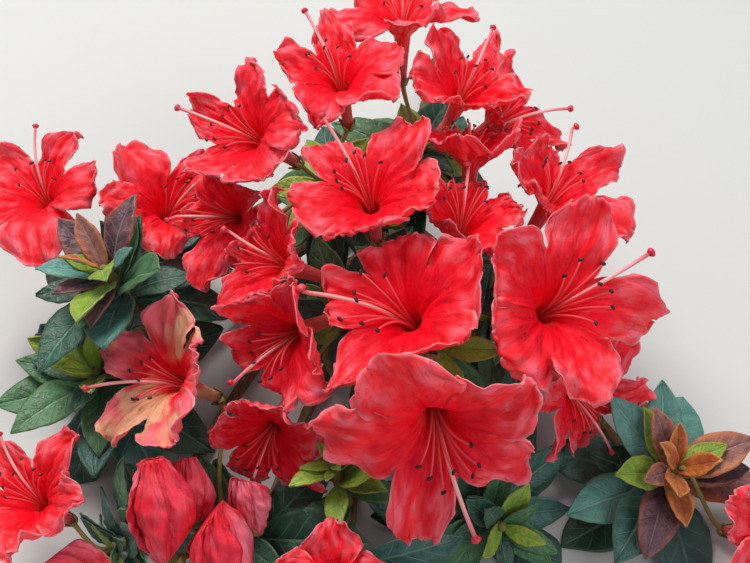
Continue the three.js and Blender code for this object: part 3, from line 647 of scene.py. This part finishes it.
def add_stalk(piece, stalks, calyxes):
    seed, axis, k = piece.seed, piece.axis, piece.get("scale", 0.9)
    line = bezier(piece.stalk, np.linspace(0, 1, 26))
    if "tip" in piece:
        length = piece.point - piece.base
        line = line[np.linalg.norm(line - piece.heel, axis=1) > 0.15 * np.linalg.norm(length)]
        start, girth = piece.base + 0.03 * length, 0.32 * piece.radius
    else:
        start, girth = piece.throat - TUBE_LENGTH * k * axis, 1.35 * k
        line = line[(line - start) @ axis < 0.4]
        if len(line) > 2:
            line = np.concatenate([[start + 0.6 * axis], line])
        else:
            line = bezier(piece.stalk, np.linspace(0, 1, 12))
    sunk = line[-1] - unit(line[-2] - line[-1]) * 0.9
    line = along_line(np.concatenate([line, [sunk]]), STALK_POINTS)
    s = np.linspace(0, 1, STALK_POINTS)
    radii = 0.62 + 0.5 * k * np.exp(-s * 9) + 0.25 * np.exp(-(1 - s) * 12)
    stalks.add_tube(line, radii, sides=10, tone=chance(seed, 38), relief=lambda angles, d: (
        0.05 * ripple(seed + 81, np.cos(angles), np.sin(angles), d / 2)))
    right = unit(np.cross(axis, (0.31, 0.52, 0.79)))
    over = np.cross(axis, right)
    u, t = np.meshgrid(np.linspace(-1, 1, 5), np.linspace(0, 1, 7))
    for sepal in range(PETALS):
        angle = 2 * pi * (sepal + 0.3) / PETALS + u * 0.62 * (1 - t) ** 0.7
        out = girth + 0.25 + 0.55 * t + 0.8 * t * t * chance(seed, sepal, 39)
        grown = (2.6 + 1.2 * chance(seed, sepal, 40)) * t
        calyxes.add_sheet(about(start, axis, right, over, grown - 0.4, out, angle), grid(*t.shape),
                          SEPAL_HALF, along=t.ravel(), tone=chance(seed, sepal, 41))


# Buds

BUD_SHARES = (0, 0.12, 0.35, 0.6, 0.82, 1)
BUD_GIRTHS = (0.28, 0.55, 0.85, 1, 0.72, 0.16)
BUD_ROWS = 40
BUD_COLUMNS = 29
BUD_PETAL_HALF = 0.17


def bud_petals(piece):
    """Five wrinkled petals folded over one another round a core, with the marks for the material."""
    seed, axis, base, radius = piece.seed, piece.axis, piece.base, piece.radius
    right = unit(np.cross(HEAD_UP + 0.2 * HEAD_OUT, axis))
    over = np.cross(axis, right)
    length = np.linalg.norm(piece.point - base)
    gathered = Gathered("across", "along", "tone", "edge")
    s = np.linspace(0, 1, BUD_ROWS)
    girth = np.interp(s, BUD_SHARES, BUD_GIRTHS)
    girth = np.convolve(np.pad(girth, 4, mode="edge"), np.ones(9) / 9, mode="valid")
    points, faces, far = tube(base + (s * 0.97 * length)[:, None] * axis, 0.78 * radius * girth, sides=24)
    gathered.add(press(points, piece.walls, softness=1.0), faces, along=far / far[-1], tone=0.2)
    u, t = np.meshgrid(np.linspace(-1, 1, BUD_COLUMNS), s)
    quads = grid(*t.shape)[:, ::-1]
    body = np.interp(t, s, girth) * radius
    edge = np.maximum(smooth(np.abs(u), 0.88, 1), smooth(t, 0.95, 1)).ravel()
    for petal in range(PETALS):
        open_tip = smooth(t, 0.75, 1) * (0.5 + chance(seed, petal, 42))
        half_angle = radians(62) * (1 - 0.3 * smooth(t, 0.6, 1))
        twist = radians(360 * chance(seed, 43) + 2 * HALF_SECTOR * petal) + radians(48) * t
        groove = -0.1 * hump(u, 0.16) * smooth(t, 0.05, 0.3) * (1 - 0.5 * smooth(t, 0.8, 1))
        ridge = 0.06 * hump(np.abs(u) - 0.42, 0.2)
        wrinkle = 0.05 * ripple(seed + 5 * petal, 1.6 * u, 9 * t + 2.2 * u)
        wrinkle = wrinkle + 0.055 * ripple(seed + 5 * petal + 3, 3.8 * u + 1.5 * t, 3 * t)
        out = body * (0.87 + 0.15 * u + groove + ridge) + radius * wrinkle * smooth(t, 0, 0.15)
        out = out + 0.5 * open_tip + 0.7 * smooth(np.abs(u), 0.7, 1) * (u > 0) * smooth(t, 0.1, 0.3)
        reach = t * (1 + 0.03 * swing(seed, petal, 44)) - 0.035 * u * u * smooth(t, 0.7, 1)
        surface = about(base, axis, right, over, reach * length, out, twist + u * half_angle)
        gathered.add_sheet(press(surface, piece.walls, softness=1.0), quads, BUD_PETAL_HALF,
                           across=u.ravel(), along=t.ravel(), tone=chance(seed, petal, 45), edge=edge)
    return gathered


# Leaves

EXTRA_LEAVES = 44
LEAF_COLUMNS = np.linspace(-1, 1, 13)
LEAF_ROWS = np.linspace(-0.1, 1, 28)
LEAF_FOOT_ROWS = 6
LEAF_STALK = 0.06
LEAF_HALF = 0.2
LEAF_FOLD = 0.16
GROWN_LEAF = 25
SAME_SPOT = 0.0003


def leaf_from(shoot, turn, opened, length, height, slender, droop, kind, seed):
    out = math.cos(turn) * shoot.right + math.sin(turn) * shoot.over
    axis = shoot.axis
    return Part(base=shoot.foot + shoot.stem * height * axis, kind=kind, seed=seed, length=length,
                width=length * slender, droop=droop, way=math.sin(opened) * out + math.cos(opened) * axis,
                face=-math.cos(opened) * out + math.sin(opened) * axis)


def leaves_of(shoot):
    seed, kinds, leaves = shoot.seed, shoot.kinds, []
    for i in range(shoot.leaves):
        share = i / (shoot.leaves - 1)
        turn = radians(GOLDEN_ANGLE * i + 25 * swing(seed, i, 1) + 360 * chance(seed, 9))
        opened = radians(shoot.spread + (shoot.youngest - shoot.spread) * share ** 1.2
                              + 8 * swing(seed, i, 2))
        length = shoot.leaf * (1 - 0.58 * share ** 1.5) * (1 + 0.12 * swing(seed, i, 3))
        leaves.append(leaf_from(shoot, turn, opened, length, 0.12 + 0.78 * share, 0.48 - 0.12 * share,
                                0.5 + 0.45 * swing(seed, i, 4), kinds[min(i, len(kinds) - 1)], 10 * seed + i))
    return leaves


def leaf_place(leaf, share, aside, lift):
    bowed = leaf.droop * share
    side = unit(np.cross(leaf.way, leaf.face))
    along = leaf.length * np.sin(bowed) / leaf.droop
    raised = leaf.length * (np.cos(bowed) - 1) / leaf.droop + lift + LEAF_FOLD * np.abs(aside)
    points = (leaf.base + np.multiply.outer(along, leaf.way) + np.multiply.outer(raised, leaf.face)
              + np.multiply.outer(np.asarray(aside, float), side))
    points[..., 2] = np.maximum(points[..., 2], 0.5 + 0.35 * np.asarray(lift))
    return points


def leaf_surface(leaf):
    """A leaf's blade and stalk: its outline, midrib, side veins and waves."""
    u, t = np.meshgrid(LEAF_COLUMNS, LEAF_ROWS)
    seed, size = leaf.seed, min(1.0, leaf.length / GROWN_LEAF)
    blade = np.clip((t - LEAF_STALK) / (1 - LEAF_STALK), 0, 1)
    outline = np.sin(pi * blade ** 1.04) ** (0.58 + 0.32 * blade)
    outline = outline * (1 + 0.025 * np.sin(17 * blade + 6 * chance(seed, 1) + u))
    full = 1.02 * (leaf.width / 2) * outline
    wide = np.maximum(full, 0.55 + 0.25 * smooth(t, 0.1, -0.1))
    wide = np.where(blade > 0.98, np.maximum(full, 0.12), wide)
    vein = -np.cos(2 * pi * (6.5 * blade - 1.5 * np.abs(u) ** 0.8))
    lift = -0.32 * size * hump(u, 0.13) * smooth(blade, 0, 0.15)
    lift = lift + (0.17 * size * vein * smooth(np.abs(u), 0.05, 0.3) * smooth(blade, 0, 0.2)
                   * (1 - smooth(blade, 0.85, 1)))
    lift = lift + 0.6 * size * np.abs(u) ** 2 * ripple(seed, 1.1 * u, 1.7 * t)
    lift = lift + 0.17 * size * ripple(seed + 3, 4 * u, 6 * t)
    points = leaf_place(leaf, t, u * wide, lift)
    return points.reshape(-1, 3), u.ravel(), np.where(t < LEAF_STALK, -1, blade).ravel()


def solid_leaf(leaf, corners):
    """Whether the solid mass has this leaf: one of its corners is there."""
    side = 0.92 * (leaf.width / 2)
    for share, aside in ((1.0, 0.0), (0.66, side), (0.66, -side)):
        spot = leaf_place(leaf, share, aside, 0.0)
        spot[2] = max(spot[2], 0.8)
        if np.linalg.norm(corners - (spot + SET_DOWN) / 1000, axis=1).min() < SAME_SPOT:
            return True
    return False


# Materials

class Finish:
    """A material being made, with its base colour so far."""

    def __init__(self, name, roughness, **values):
        self.material = bpy.data.materials.new(name)
        self.material.use_nodes = True
        self.tree = self.material.node_tree
        self.shader = self.tree.nodes["Principled BSDF"]
        self.shader.inputs["Roughness"].default_value = roughness
        for socket, value in values.items():
            self.shader.inputs[socket.replace("_", " ")].default_value = value

    def node(self, kind, inputs=(), **settings):
        found = self.tree.nodes.new(kind)
        for key, value in settings.items():
            setattr(found, key, value)
        for socket, value in dict(inputs).items():
            if isinstance(value, bpy.types.NodeSocket):
                self.tree.links.new(value, found.inputs[socket])
            else:
                found.inputs[socket].default_value = value
        return found

    def marks(self, *names):
        return [self.node("ShaderNodeAttribute", attribute_name=name).outputs["Fac"] for name in names]

    def maths(self, operation, a, b=0.0):
        return self.node("ShaderNodeMath", {0: a, 1: b}, operation=operation).outputs[0]

    plus = partialmethod(maths, "ADD")
    less = partialmethod(maths, "SUBTRACT")
    times = partialmethod(maths, "MULTIPLY")
    size = partialmethod(maths, "ABSOLUTE")

    def waves(self, line):
        """From 0 at each whole number of line to 1 halfway between them."""
        return self.size(self.maths("SINE", self.times(line, pi)))

    def spanned(self, value, low, high, to_low=0.0, to_high=1.0):
        inputs = {"Value": value, "From Min": low, "From Max": high, "To Min": to_low, "To Max": to_high}
        return self.node("ShaderNodeMapRange", inputs, interpolation_type="SMOOTHSTEP").outputs["Result"]

    def position(self):
        return self.node("ShaderNodeTexCoord").outputs["Object"]

    def plane(self, across, wide, along, tall):
        inputs = {"X": self.times(across, wide), "Y": self.times(along, tall)}
        return self.node("ShaderNodeCombineXYZ", inputs).outputs[0]

    def noise(self, scale, detail, vector=None, roughness=0.5):
        inputs = {"Scale": scale, "Detail": detail, "Roughness": roughness}
        inputs["Vector"] = vector or self.position()
        return self.node("ShaderNodeTexNoise", inputs).outputs["Fac"]

    def colour(self, value, stops):
        """Starts the base colour: value runs through the stops."""
        ramp = self.node("ShaderNodeValToRGB", {"Fac": value})
        elements = ramp.color_ramp.elements
        while len(elements) < len(stops):
            elements.new(0.5)
        for element, (position, colour) in zip(elements, stops):
            element.position = position
            element.color = (*colour, 1)
        self.base = ramp.outputs["Color"]

    def tint(self, colour, share, strength=1.0):
        """Blends a colour into the base where share is above 0."""
        inputs = {0: self.times(share, strength), 6: self.base, 7: (*colour, 1)}
        self.base = self.node("ShaderNodeMix", inputs, data_type="RGBA").outputs[2]

    def done(self, height, strength, distance, roughness=None):
        """The material, with its base colour and relief, and a roughness that varies where one is given."""
        links, sockets = self.tree.links, self.shader.inputs
        bump = self.node("ShaderNodeBump", {"Height": height, "Strength": strength, "Distance": distance})
        links.new(self.base, sockets["Base Color"])
        links.new(bump.outputs["Normal"], sockets["Normal"])
        if roughness is not None:
            links.new(roughness, sockets["Roughness"])
        return self.material


def petal_material():
    made = Finish("petal", 0.42, Sheen_Weight=0.03, Sheen_Roughness=0.35, Sheen_Tint=(1, 0.35, 0.5, 1),
                  Specular_IOR_Level=0.2, Specular_Tint=(1, 0.55, 0.75, 1), Subsurface_Weight=0.4,
                  Subsurface_Radius=(1, 0.06, 0.07), Subsurface_Scale=0.003)
    across, along, tone, edge = made.marks("across", "along", "tone", "edge")
    inner, blotch, faded = made.marks("inner", "blotch", "faded")
    mottle = made.noise(260, 4)
    depth = made.plus(along, made.spanned(mottle, 0.3, 0.7, -0.06, 0.06))
    made.colour(made.spanned(depth, -TUBE_DEPTH, 1), [
        (0, (0.7, 0.2, 0.14)), (0.22, (0.86, 0.03, 0.03)), (0.34, (0.9, 0.002, 0.01)),
        (0.55, (0.92, 0.006, 0.015)), (0.8, (0.95, 0.016, 0.024)), (1, (0.96, 0.035, 0.04))])
    made.tint((0.86, 0.001, 0.018), tone, 0.3)
    crinkle = made.noise(0.9, 2, made.plane(across, 2.4, along, 4.5), 0.45)
    # Pale pink where the crinkles rise, most towards the lobes' ends: a painted highlight.
    painted_highlight = made.times(made.spanned(crinkle, 0.44, 0.68), made.spanned(along, 0.3, 0.8))
    made.tint((0.98, 0.18, 0.23), painted_highlight, 0.7)
    # Deeper red where the crinkles sink: painted shade.
    made.tint((0.62, 0, 0.012), made.spanned(crinkle, 0.48, 0.34), 0.45)
    wander = made.noise(3, 3, made.plane(across, 2, along, 1))
    line = made.plus(made.times(across, 8), made.times(wander, 3))
    vein = made.times(made.spanned(made.waves(line), 0.16, 0), made.spanned(along, 0.15, 0.5))
    made.tint((0.66, 0, 0.012), vein, 0.5)
    flecks = made.node("ShaderNodeTexVoronoi", {
        "Vector": made.plane(across, 9, along, 13), "Scale": 1, "Randomness": 0.9}).outputs["Distance"]
    inside = made.times(made.spanned(along, 0.12, 0.25), made.spanned(along, 0.62, 0.4))
    inside = made.times(inside, made.spanned(made.size(across), 0.75, 0.4))
    inside = made.times(inside, made.times(blotch, inner))
    made.tint((0.3, 0, 0.012), inside, made.spanned(flecks, 0.34, 0.2))
    made.tint((0.6, 0, 0.014), inside, 0.35)
    made.tint((0.8, 0.06, 0.08), made.less(1, inner), 0.45)
    made.tint((0.93, 0.2, 0.22), made.times(faded, made.spanned(along, 0.3, 0.8)), 0.5)
    made.tint((0.78, 0.42, 0.22), made.times(faded, made.spanned(made.noise(70, 2), 0.5, 0.62)), 0.75)
    # Paler pink along the rims and the lobes' ends: a painted highlight.
    made.tint((0.97, 0.34, 0.38), edge, 0.55)
    height = made.plus(made.noise(420, 4), made.times(crinkle, 1.6))
    height = made.less(height, made.times(vein, 0.35))
    return made.done(height, 0.7, 0.0007, made.spanned(mottle, 0.3, 0.7, 0.36, 0.5))


def bud_material():
    made = Finish("bud_petal", 0.45, Sheen_Weight=0.12, Sheen_Roughness=0.45, Sheen_Tint=(1, 0.5, 0.6, 1),
                  Specular_IOR_Level=0.3, Specular_Tint=(1, 0.7, 0.8, 1), Subsurface_Weight=0.15,
                  Subsurface_Radius=(1, 0.1, 0.1), Subsurface_Scale=0.0015)
    across, along, tone, edge = made.marks("across", "along", "tone", "edge")
    mottle = made.noise(330, 4)
    made.colour(mottle, [
        (0.3, (0.72, 0.006, 0.025)), (0.55, (0.82, 0.02, 0.045)), (0.75, (0.88, 0.09, 0.13))])
    made.tint((0.66, 0.002, 0.012), tone, 0.4)
    # Pale pink patches, fewer on some petals than on others: a painted highlight.
    pale = made.times(made.spanned(made.noise(75, 2), 0.42, 0.62), made.spanned(tone, 1, 0.2))
    made.tint((0.92, 0.24, 0.31), pale, 0.75)
    made.tint((0.75, 0.01, 0.02), made.spanned(along, 0.75, 1), 0.5)
    # Darker along each petal's midline groove: painted shade.
    made.tint((0.5, 0, 0.012), made.spanned(made.size(across), 0.14, 0), 0.5)
    # Darker along the petals' edges and tips, in the crevices where they overlap: painted shade.
    made.tint((0.52, 0.001, 0.014), edge, 0.75)
    folds = made.noise(9, 3, made.plane(across, 1.4, along, 1))
    height = made.plus(folds, made.times(made.noise(1500, 3), 0.3))
    return made.done(height, 0.6, 0.0007, made.spanned(mottle, 0.3, 0.7, 0.36, 0.52))


def organ_material(name, roughness, stops):
    made = Finish(name, roughness, Specular_IOR_Level=0.4)
    along, tone = made.marks("along", "tone")
    made.colour(made.spanned(along, 0, 1.3), stops)
    made.tint(stops[0][1], tone, 0.25)
    return made.done(made.noise(1800, 3), 0.25, 0.0001)


# Each kind's slot, its deep and bright colours, and its colours along the rim and the midrib.
# The bright colours of the dark and green kinds are their own green, tinted blue as a painted reflection of
# the sky.
LEAF_KINDS = {
    "dark": ("leaf", (0.009, 0.045, 0.024), (0.034, 0.125, 0.075), (0.02, 0.07, 0.035), (0.16, 0.3, 0.2)),
    "blue": ("leaf", (0.014, 0.07, 0.05), (0.06, 0.19, 0.16), (0.03, 0.1, 0.06), (0.18, 0.34, 0.25)),
    "pale": ("leaf", (0.06, 0.2, 0.16), (0.15, 0.37, 0.32), (0.1, 0.22, 0.16), (0.26, 0.44, 0.36)),
    "green": ("leaf", (0.03, 0.105, 0.03), (0.08, 0.23, 0.09), (0.05, 0.13, 0.03), (0.2, 0.36, 0.2)),
    "young": ("young_leaf", (0.12, 0.24, 0.012), (0.34, 0.47, 0.035), (0.3, 0.3, 0.03), (0.4, 0.52, 0.12)),
    "bronze": ("bronze_leaf", (0.15, 0.045, 0.035), (0.42, 0.17, 0.12), (0.58, 0.17, 0.05),
               (0.42, 0.24, 0.27)),
    "purple": ("bronze_leaf", (0.05, 0.014, 0.022), (0.19, 0.085, 0.095), (0.3, 0.07, 0.03),
               (0.26, 0.15, 0.2)),
    "orange": ("bronze_leaf", (0.34, 0.06, 0.012), (0.66, 0.2, 0.03), (0.74, 0.26, 0.05), (0.5, 0.16, 0.06)),
}
UNDERSIDE = (0.2, 0.27, 0.13)


def leaf_material(kind):
    _, deep, bright, rim, rib = LEAF_KINDS[kind]
    made = Finish("leaf_" + kind, 0.45, Specular_IOR_Level=0.5, Sheen_Weight=0.1, Sheen_Roughness=0.5,
                  Sheen_Tint=(0.75, 0.95, 1, 1))
    across, along, tone, inner = made.marks("across", "along", "tone", "inner")
    mottle = made.noise(170, 4, roughness=0.6)
    share = made.plus(made.spanned(mottle, 0.3, 0.7, 0, 0.7), made.times(tone, 0.3))
    made.colour(share, [(0.05, deep), (0.95, bright)])
    out = made.size(across)
    slant = made.times(made.maths("POWER", out, 0.8), 1.5)
    side = made.waves(made.less(made.times(along, 6.5), slant))
    veins = made.times(made.spanned(side, 0.22, 0.04), made.spanned(out, 0.95, 0.5))
    midrib = made.spanned(out, 0.09, 0.035)
    made.tint(deep, made.times(made.spanned(side, 0.5, 1), made.spanned(out, 0.98, 0.6)), 0.3)
    rimmed = made.spanned(made.plus(out, made.spanned(mottle, 0.3, 0.7, -0.15, 0.15)), 0.55, 0.95)
    made.tint(rim, rimmed, 0.65)
    made.tint(rib, veins, 0.55)
    made.tint(rib, midrib, 0.6)
    under = tuple(0.5 * c + 0.5 * g for c, g in zip(bright, UNDERSIDE))
    made.tint(under, made.less(1, inner), 0.7)
    sunk = made.plus(made.times(veins, 0.8), midrib)
    height = made.less(made.times(made.noise(600, 4, roughness=0.65), 1.3), sunk)
    return made.done(height, 0.7, 0.0006, made.spanned(mottle, 0.3, 0.75, 0.32, 0.52))


def bark_material(name, deep, bright, tip):
    made = Finish(name, 0.85, Specular_IOR_Level=0.25)
    streaked = made.node("ShaderNodeMapping", {"Vector": made.position(), "Scale": (1, 0.35, 1)})
    flakes = made.noise(900, 6, streaked.outputs[0], 0.65)
    made.colour(flakes, [(0.35, deep), (0.62, bright)])
    made.tint(tip, made.spanned(made.marks("along")[0], 0.3, 1))
    made.tint((0.42, 0.4, 0.33), made.spanned(made.noise(160, 3), 0.6, 0.72), 0.35)
    return made.done(made.plus(flakes, made.times(made.noise(3000, 3), 0.3)), 0.7, 0.0006)


# The camera looks at the flower head's middle from above and in front, as the photograph does.
VIEW_DISTANCE = 300
camera = linked("camera", bpy.data.cameras.new("camera"))
camera.data.sensor_width = 36
camera.data.lens = 55.4
camera.data.clip_start = 0.01
camera.location = (HEAD_MIDDLE + SET_DOWN + VIEW_DISTANCE * HEAD_OUT) / 1000
camera.rotation_euler = Vector(HEAD_OUT).to_track_quat("Z", "Y").to_euler()
bpy.context.scene.camera = camera

# Blooms, buds and their stalks
petal_finish, bud_finish = petal_material(), bud_material()
filament_finish = organ_material("filament", 0.5, [
    (0, (0.6, 0.03, 0.03)), (0.6, (0.75, 0.06, 0.07)), (1, (0.7, 0.04, 0.06))])
pistil_finish = organ_material("pistil", 0.4, [
    (0, (0.8, 0.2, 0.2)), (0.5, (0.88, 0.45, 0.42)), (0.74, (0.85, 0.25, 0.27)), (0.9, (0.6, 0.01, 0.04))])
anther_finish = organ_material("anther", 0.55, [(0, (0.035, 0.006, 0.01)), (1, (0.06, 0.01, 0.015))])
stalk_finish = organ_material("stalk", 0.6, [
    (0, (0.3, 0.22, 0.06)), (0.5, (0.24, 0.25, 0.06)), (1, (0.2, 0.16, 0.05))])

bloom_nodes = ["bloom_" + p.name for p in pieces if "tip" not in p]
bud_nodes = ["bud_" + p.name for p in pieces if "tip" in p]
filaments, anthers, pistils, stalks, calyxes = (Gathered("along", "tone") for _ in range(5))
obstacles = []
for piece in pieces:
    if "tip" in piece:
        gathered = bud_petals(piece)
        build("bud_petals_" + piece.name, gathered, bud_finish, ["bud_" + piece.name])
    else:
        gathered = corolla(piece)
        build("corolla_" + piece.name, gathered, petal_finish, ["bloom_" + piece.name])
        add_organs(piece, filaments, anthers, pistils)
    obstacles.append(gathered.tree())
    add_stalk(piece, stalks, calyxes)
build("filaments", filaments, filament_finish, bloom_nodes)
build("anthers", anthers, anther_finish, bloom_nodes)
build("pistils", pistils, pistil_finish, bloom_nodes)
build("flower_stalks", stalks, stalk_finish, bloom_nodes + bud_nodes)
build("calyxes", calyxes, stalk_finish, bloom_nodes + bud_nodes)

# The stem and its shoots, with bark relief
STEM_POINTS = 360
LIMB_POINTS = 72
LEAFY_STEM_POINTS = 30
LEAF_SCARS = 5
bark = bark_material("bark", (0.06, 0.035, 0.02), (0.2, 0.13, 0.08), (0.17, 0.1, 0.05))
twig_bark = bark_material("twig_bark", (0.1, 0.05, 0.025), (0.24, 0.14, 0.07), (0.2, 0.17, 0.06))


def bark_relief(seed, depth):
    def relief(angles, s):
        x, y = np.cos(angles), np.sin(angles)
        plates = ripple(seed, 1.6 * x, 1.6 * y, s / 9) + 0.6 * ripple(seed + 3, 3.5 * x, 3.5 * y, s / 4)
        cracks = hump(ripple(seed + 5, 2.2 * x, 2.2 * y, s / 14), 0.16)
        return depth * (0.55 * plates - 0.9 * cracks)
    return relief


stem, limbs, stems = (Gathered("along") for _ in range(3))
share = np.linspace(0, 1, STEM_POINTS)
stem_radii = STEM_RADII[0] + (STEM_RADII[1] - STEM_RADII[0]) * share
for shoot in shoots:
    stem_radii = stem_radii + 0.25 * hump(share - shoot.start, 0.02)
stem.add_tube(bezier(STEM_CURVE, share), stem_radii - 0.2, sides=60, span=0.4,
              relief=bark_relief(901, 0.3))
for number, shoot in enumerate(shoots):
    route, away = limb_route(shoot)
    line = along_line(np.concatenate([[route[0] - 1.4 * away], route]), LIMB_POINTS)
    s = np.linspace(0, 1, LIMB_POINTS)
    radii = SHOOT_RADIUS * (1 - 0.1 * s) - 0.1 + 0.7 * np.exp(-s * travelled(line)[-1] / 3)
    limbs.add_tube(line, radii, sides=24, span=0.6, relief=bark_relief(910 + number, 0.16))
    s = np.linspace(-0.09, 1, LEAFY_STEM_POINTS)
    line = shoot.foot + (s * shoot.stem)[:, None] * shoot.axis
    tip = shoot.ring + STALK_RADIUS
    radii = 0.92 * (SHOOT_RADIUS + (tip - SHOOT_RADIUS) * np.clip(s, 0, 1)) * (1 - 0.5 * smooth(s, 0.93, 1))
    radii = radii + 0.12 * np.sin(2 * pi * LEAF_SCARS * s) ** 2
    stems.add_tube(line, radii, sides=20, start=0.5, span=0.5, relief=bark_relief(940 + number, 0.1))
shoot_nodes = ["shoot_" + shoot.name for shoot in shoots]
leaf_nodes = ["leaves_" + shoot.name for shoot in shoots]
build("stem_bark", stem, bark, ["main_stem"])
build("shoot_bark", limbs, twig_bark, shoot_nodes)
build("leafy_stems", stems, twig_bark, leaf_nodes)
obstacles += [gathered.tree() for gathered in (stalks, stem, limbs)]

# Leaves: those of the solids, then smaller ones between them where there is room
leaf_sets = {kind: Gathered("across", "along", "tone", "inner") for kind in LEAF_KINDS}
leaf_quads = grid(len(LEAF_ROWS), len(LEAF_COLUMNS))


def add_leaf(leaf):
    surface, across, along = leaf_surface(leaf)
    leaf_sets[leaf.kind].add_sheet(surface, leaf_quads, LEAF_HALF, across=across, along=along,
                                      tone=chance(leaf.seed, 5))
    obstacles.append(BVHTree.FromPolygons(surface.tolist(), leaf_quads.tolist()))


def has_room(leaf):
    """Whether a leaf's blade, past the part next to the leafy stem, meets nothing."""
    surface, _, _ = leaf_surface(leaf)
    blade = BVHTree.FromPolygons(surface[len(LEAF_COLUMNS) * LEAF_FOOT_ROWS:].tolist(),
                                 grid(len(LEAF_ROWS) - LEAF_FOOT_ROWS, len(LEAF_COLUMNS)).tolist())
    return not any(blade.overlap(other) for other in obstacles)


spare = []
for shoot in shoots:
    solid_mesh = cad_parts["leaves_" + shoot.name].data
    corners = np.array([v.co for v in solid_mesh.vertices])
    for leaf in leaves_of(shoot):
        if solid_leaf(leaf, corners):
            add_leaf(leaf)
        else:
            spare.append(leaf)
for leaf in spare:
    for smaller in (0.88, 0.72, 0.55):
        tried = Part(leaf, length=smaller * leaf.length, width=smaller * leaf.width)
        if has_room(tried):
            add_leaf(tried)
            break
for shoot in shoots:
    kinds = shoot.kinds
    for i in range(EXTRA_LEAVES):
        seed = 5000 + 60 * shoot.seed + i
        share = i / (EXTRA_LEAVES - 1)
        opened = radians(100 - 65 * share + 12 * swing(seed, 2))
        length = shoot.leaf * (0.95 - 0.6 * share) * (1 + 0.15 * swing(seed, 3))
        small = leaf_from(shoot, 2 * pi * chance(seed, 1), opened, length, 0.1 + 0.8 * share,
                          0.44 - 0.08 * share, 0.45 + 0.35 * swing(seed, 5),
                          kinds[int(share * (len(kinds) - 1))], seed)
        if has_room(small):
            add_leaf(small)
for kind, gathered in leaf_sets.items():
    if gathered.count:
        build("leaf_blades_" + kind, gathered, leaf_material(kind), leaf_nodes)

# The floor and soft studio light
floor_mesh = bpy.data.meshes.new("floor")
floor_mesh.from_pydata([(-4, -4, 0), (4, -4, 0), (4, 4, 0), (-4, 4, 0)], [], [(0, 1, 2, 3)])
floor_finish = Finish("floor", 0.8, Specular_IOR_Level=0.2, Base_Color=(0.56, 0.555, 0.54, 1))
floor_mesh.materials.append(floor_finish.material)
floor = linked("floor", floor_mesh)

LIT_SPOT = Vector((0, -0.03, 0.04))
for name, spot, size, watts, colour in (("key", (-0.35, 0.45, 1.0), 0.6, 14.5, (1, 0.98, 0.95)),
                                        ("fill", (0.7, -0.6, 0.8), 0.9, 5.6, (0.93, 0.97, 1))):
    light = linked(name, bpy.data.lights.new(name, "AREA"))
    light.data.shape = "DISK"
    light.data.size = size
    light.data.energy = watts
    light.data.color = colour
    light.location = spot
    light.rotation_euler = (Vector(spot) - LIT_SPOT).to_track_quat("Z", "Y").to_euler()
world = bpy.data.worlds.new("studio")
world.use_nodes = True
sky = world.node_tree.nodes["Background"].inputs
sky["Color"].default_value = (0.86, 0.93, 1, 1)
sky["Strength"].default_value = 0.35
bpy.context.scene.world = world
bpy.context.scene.view_settings.view_transform = "Standard"
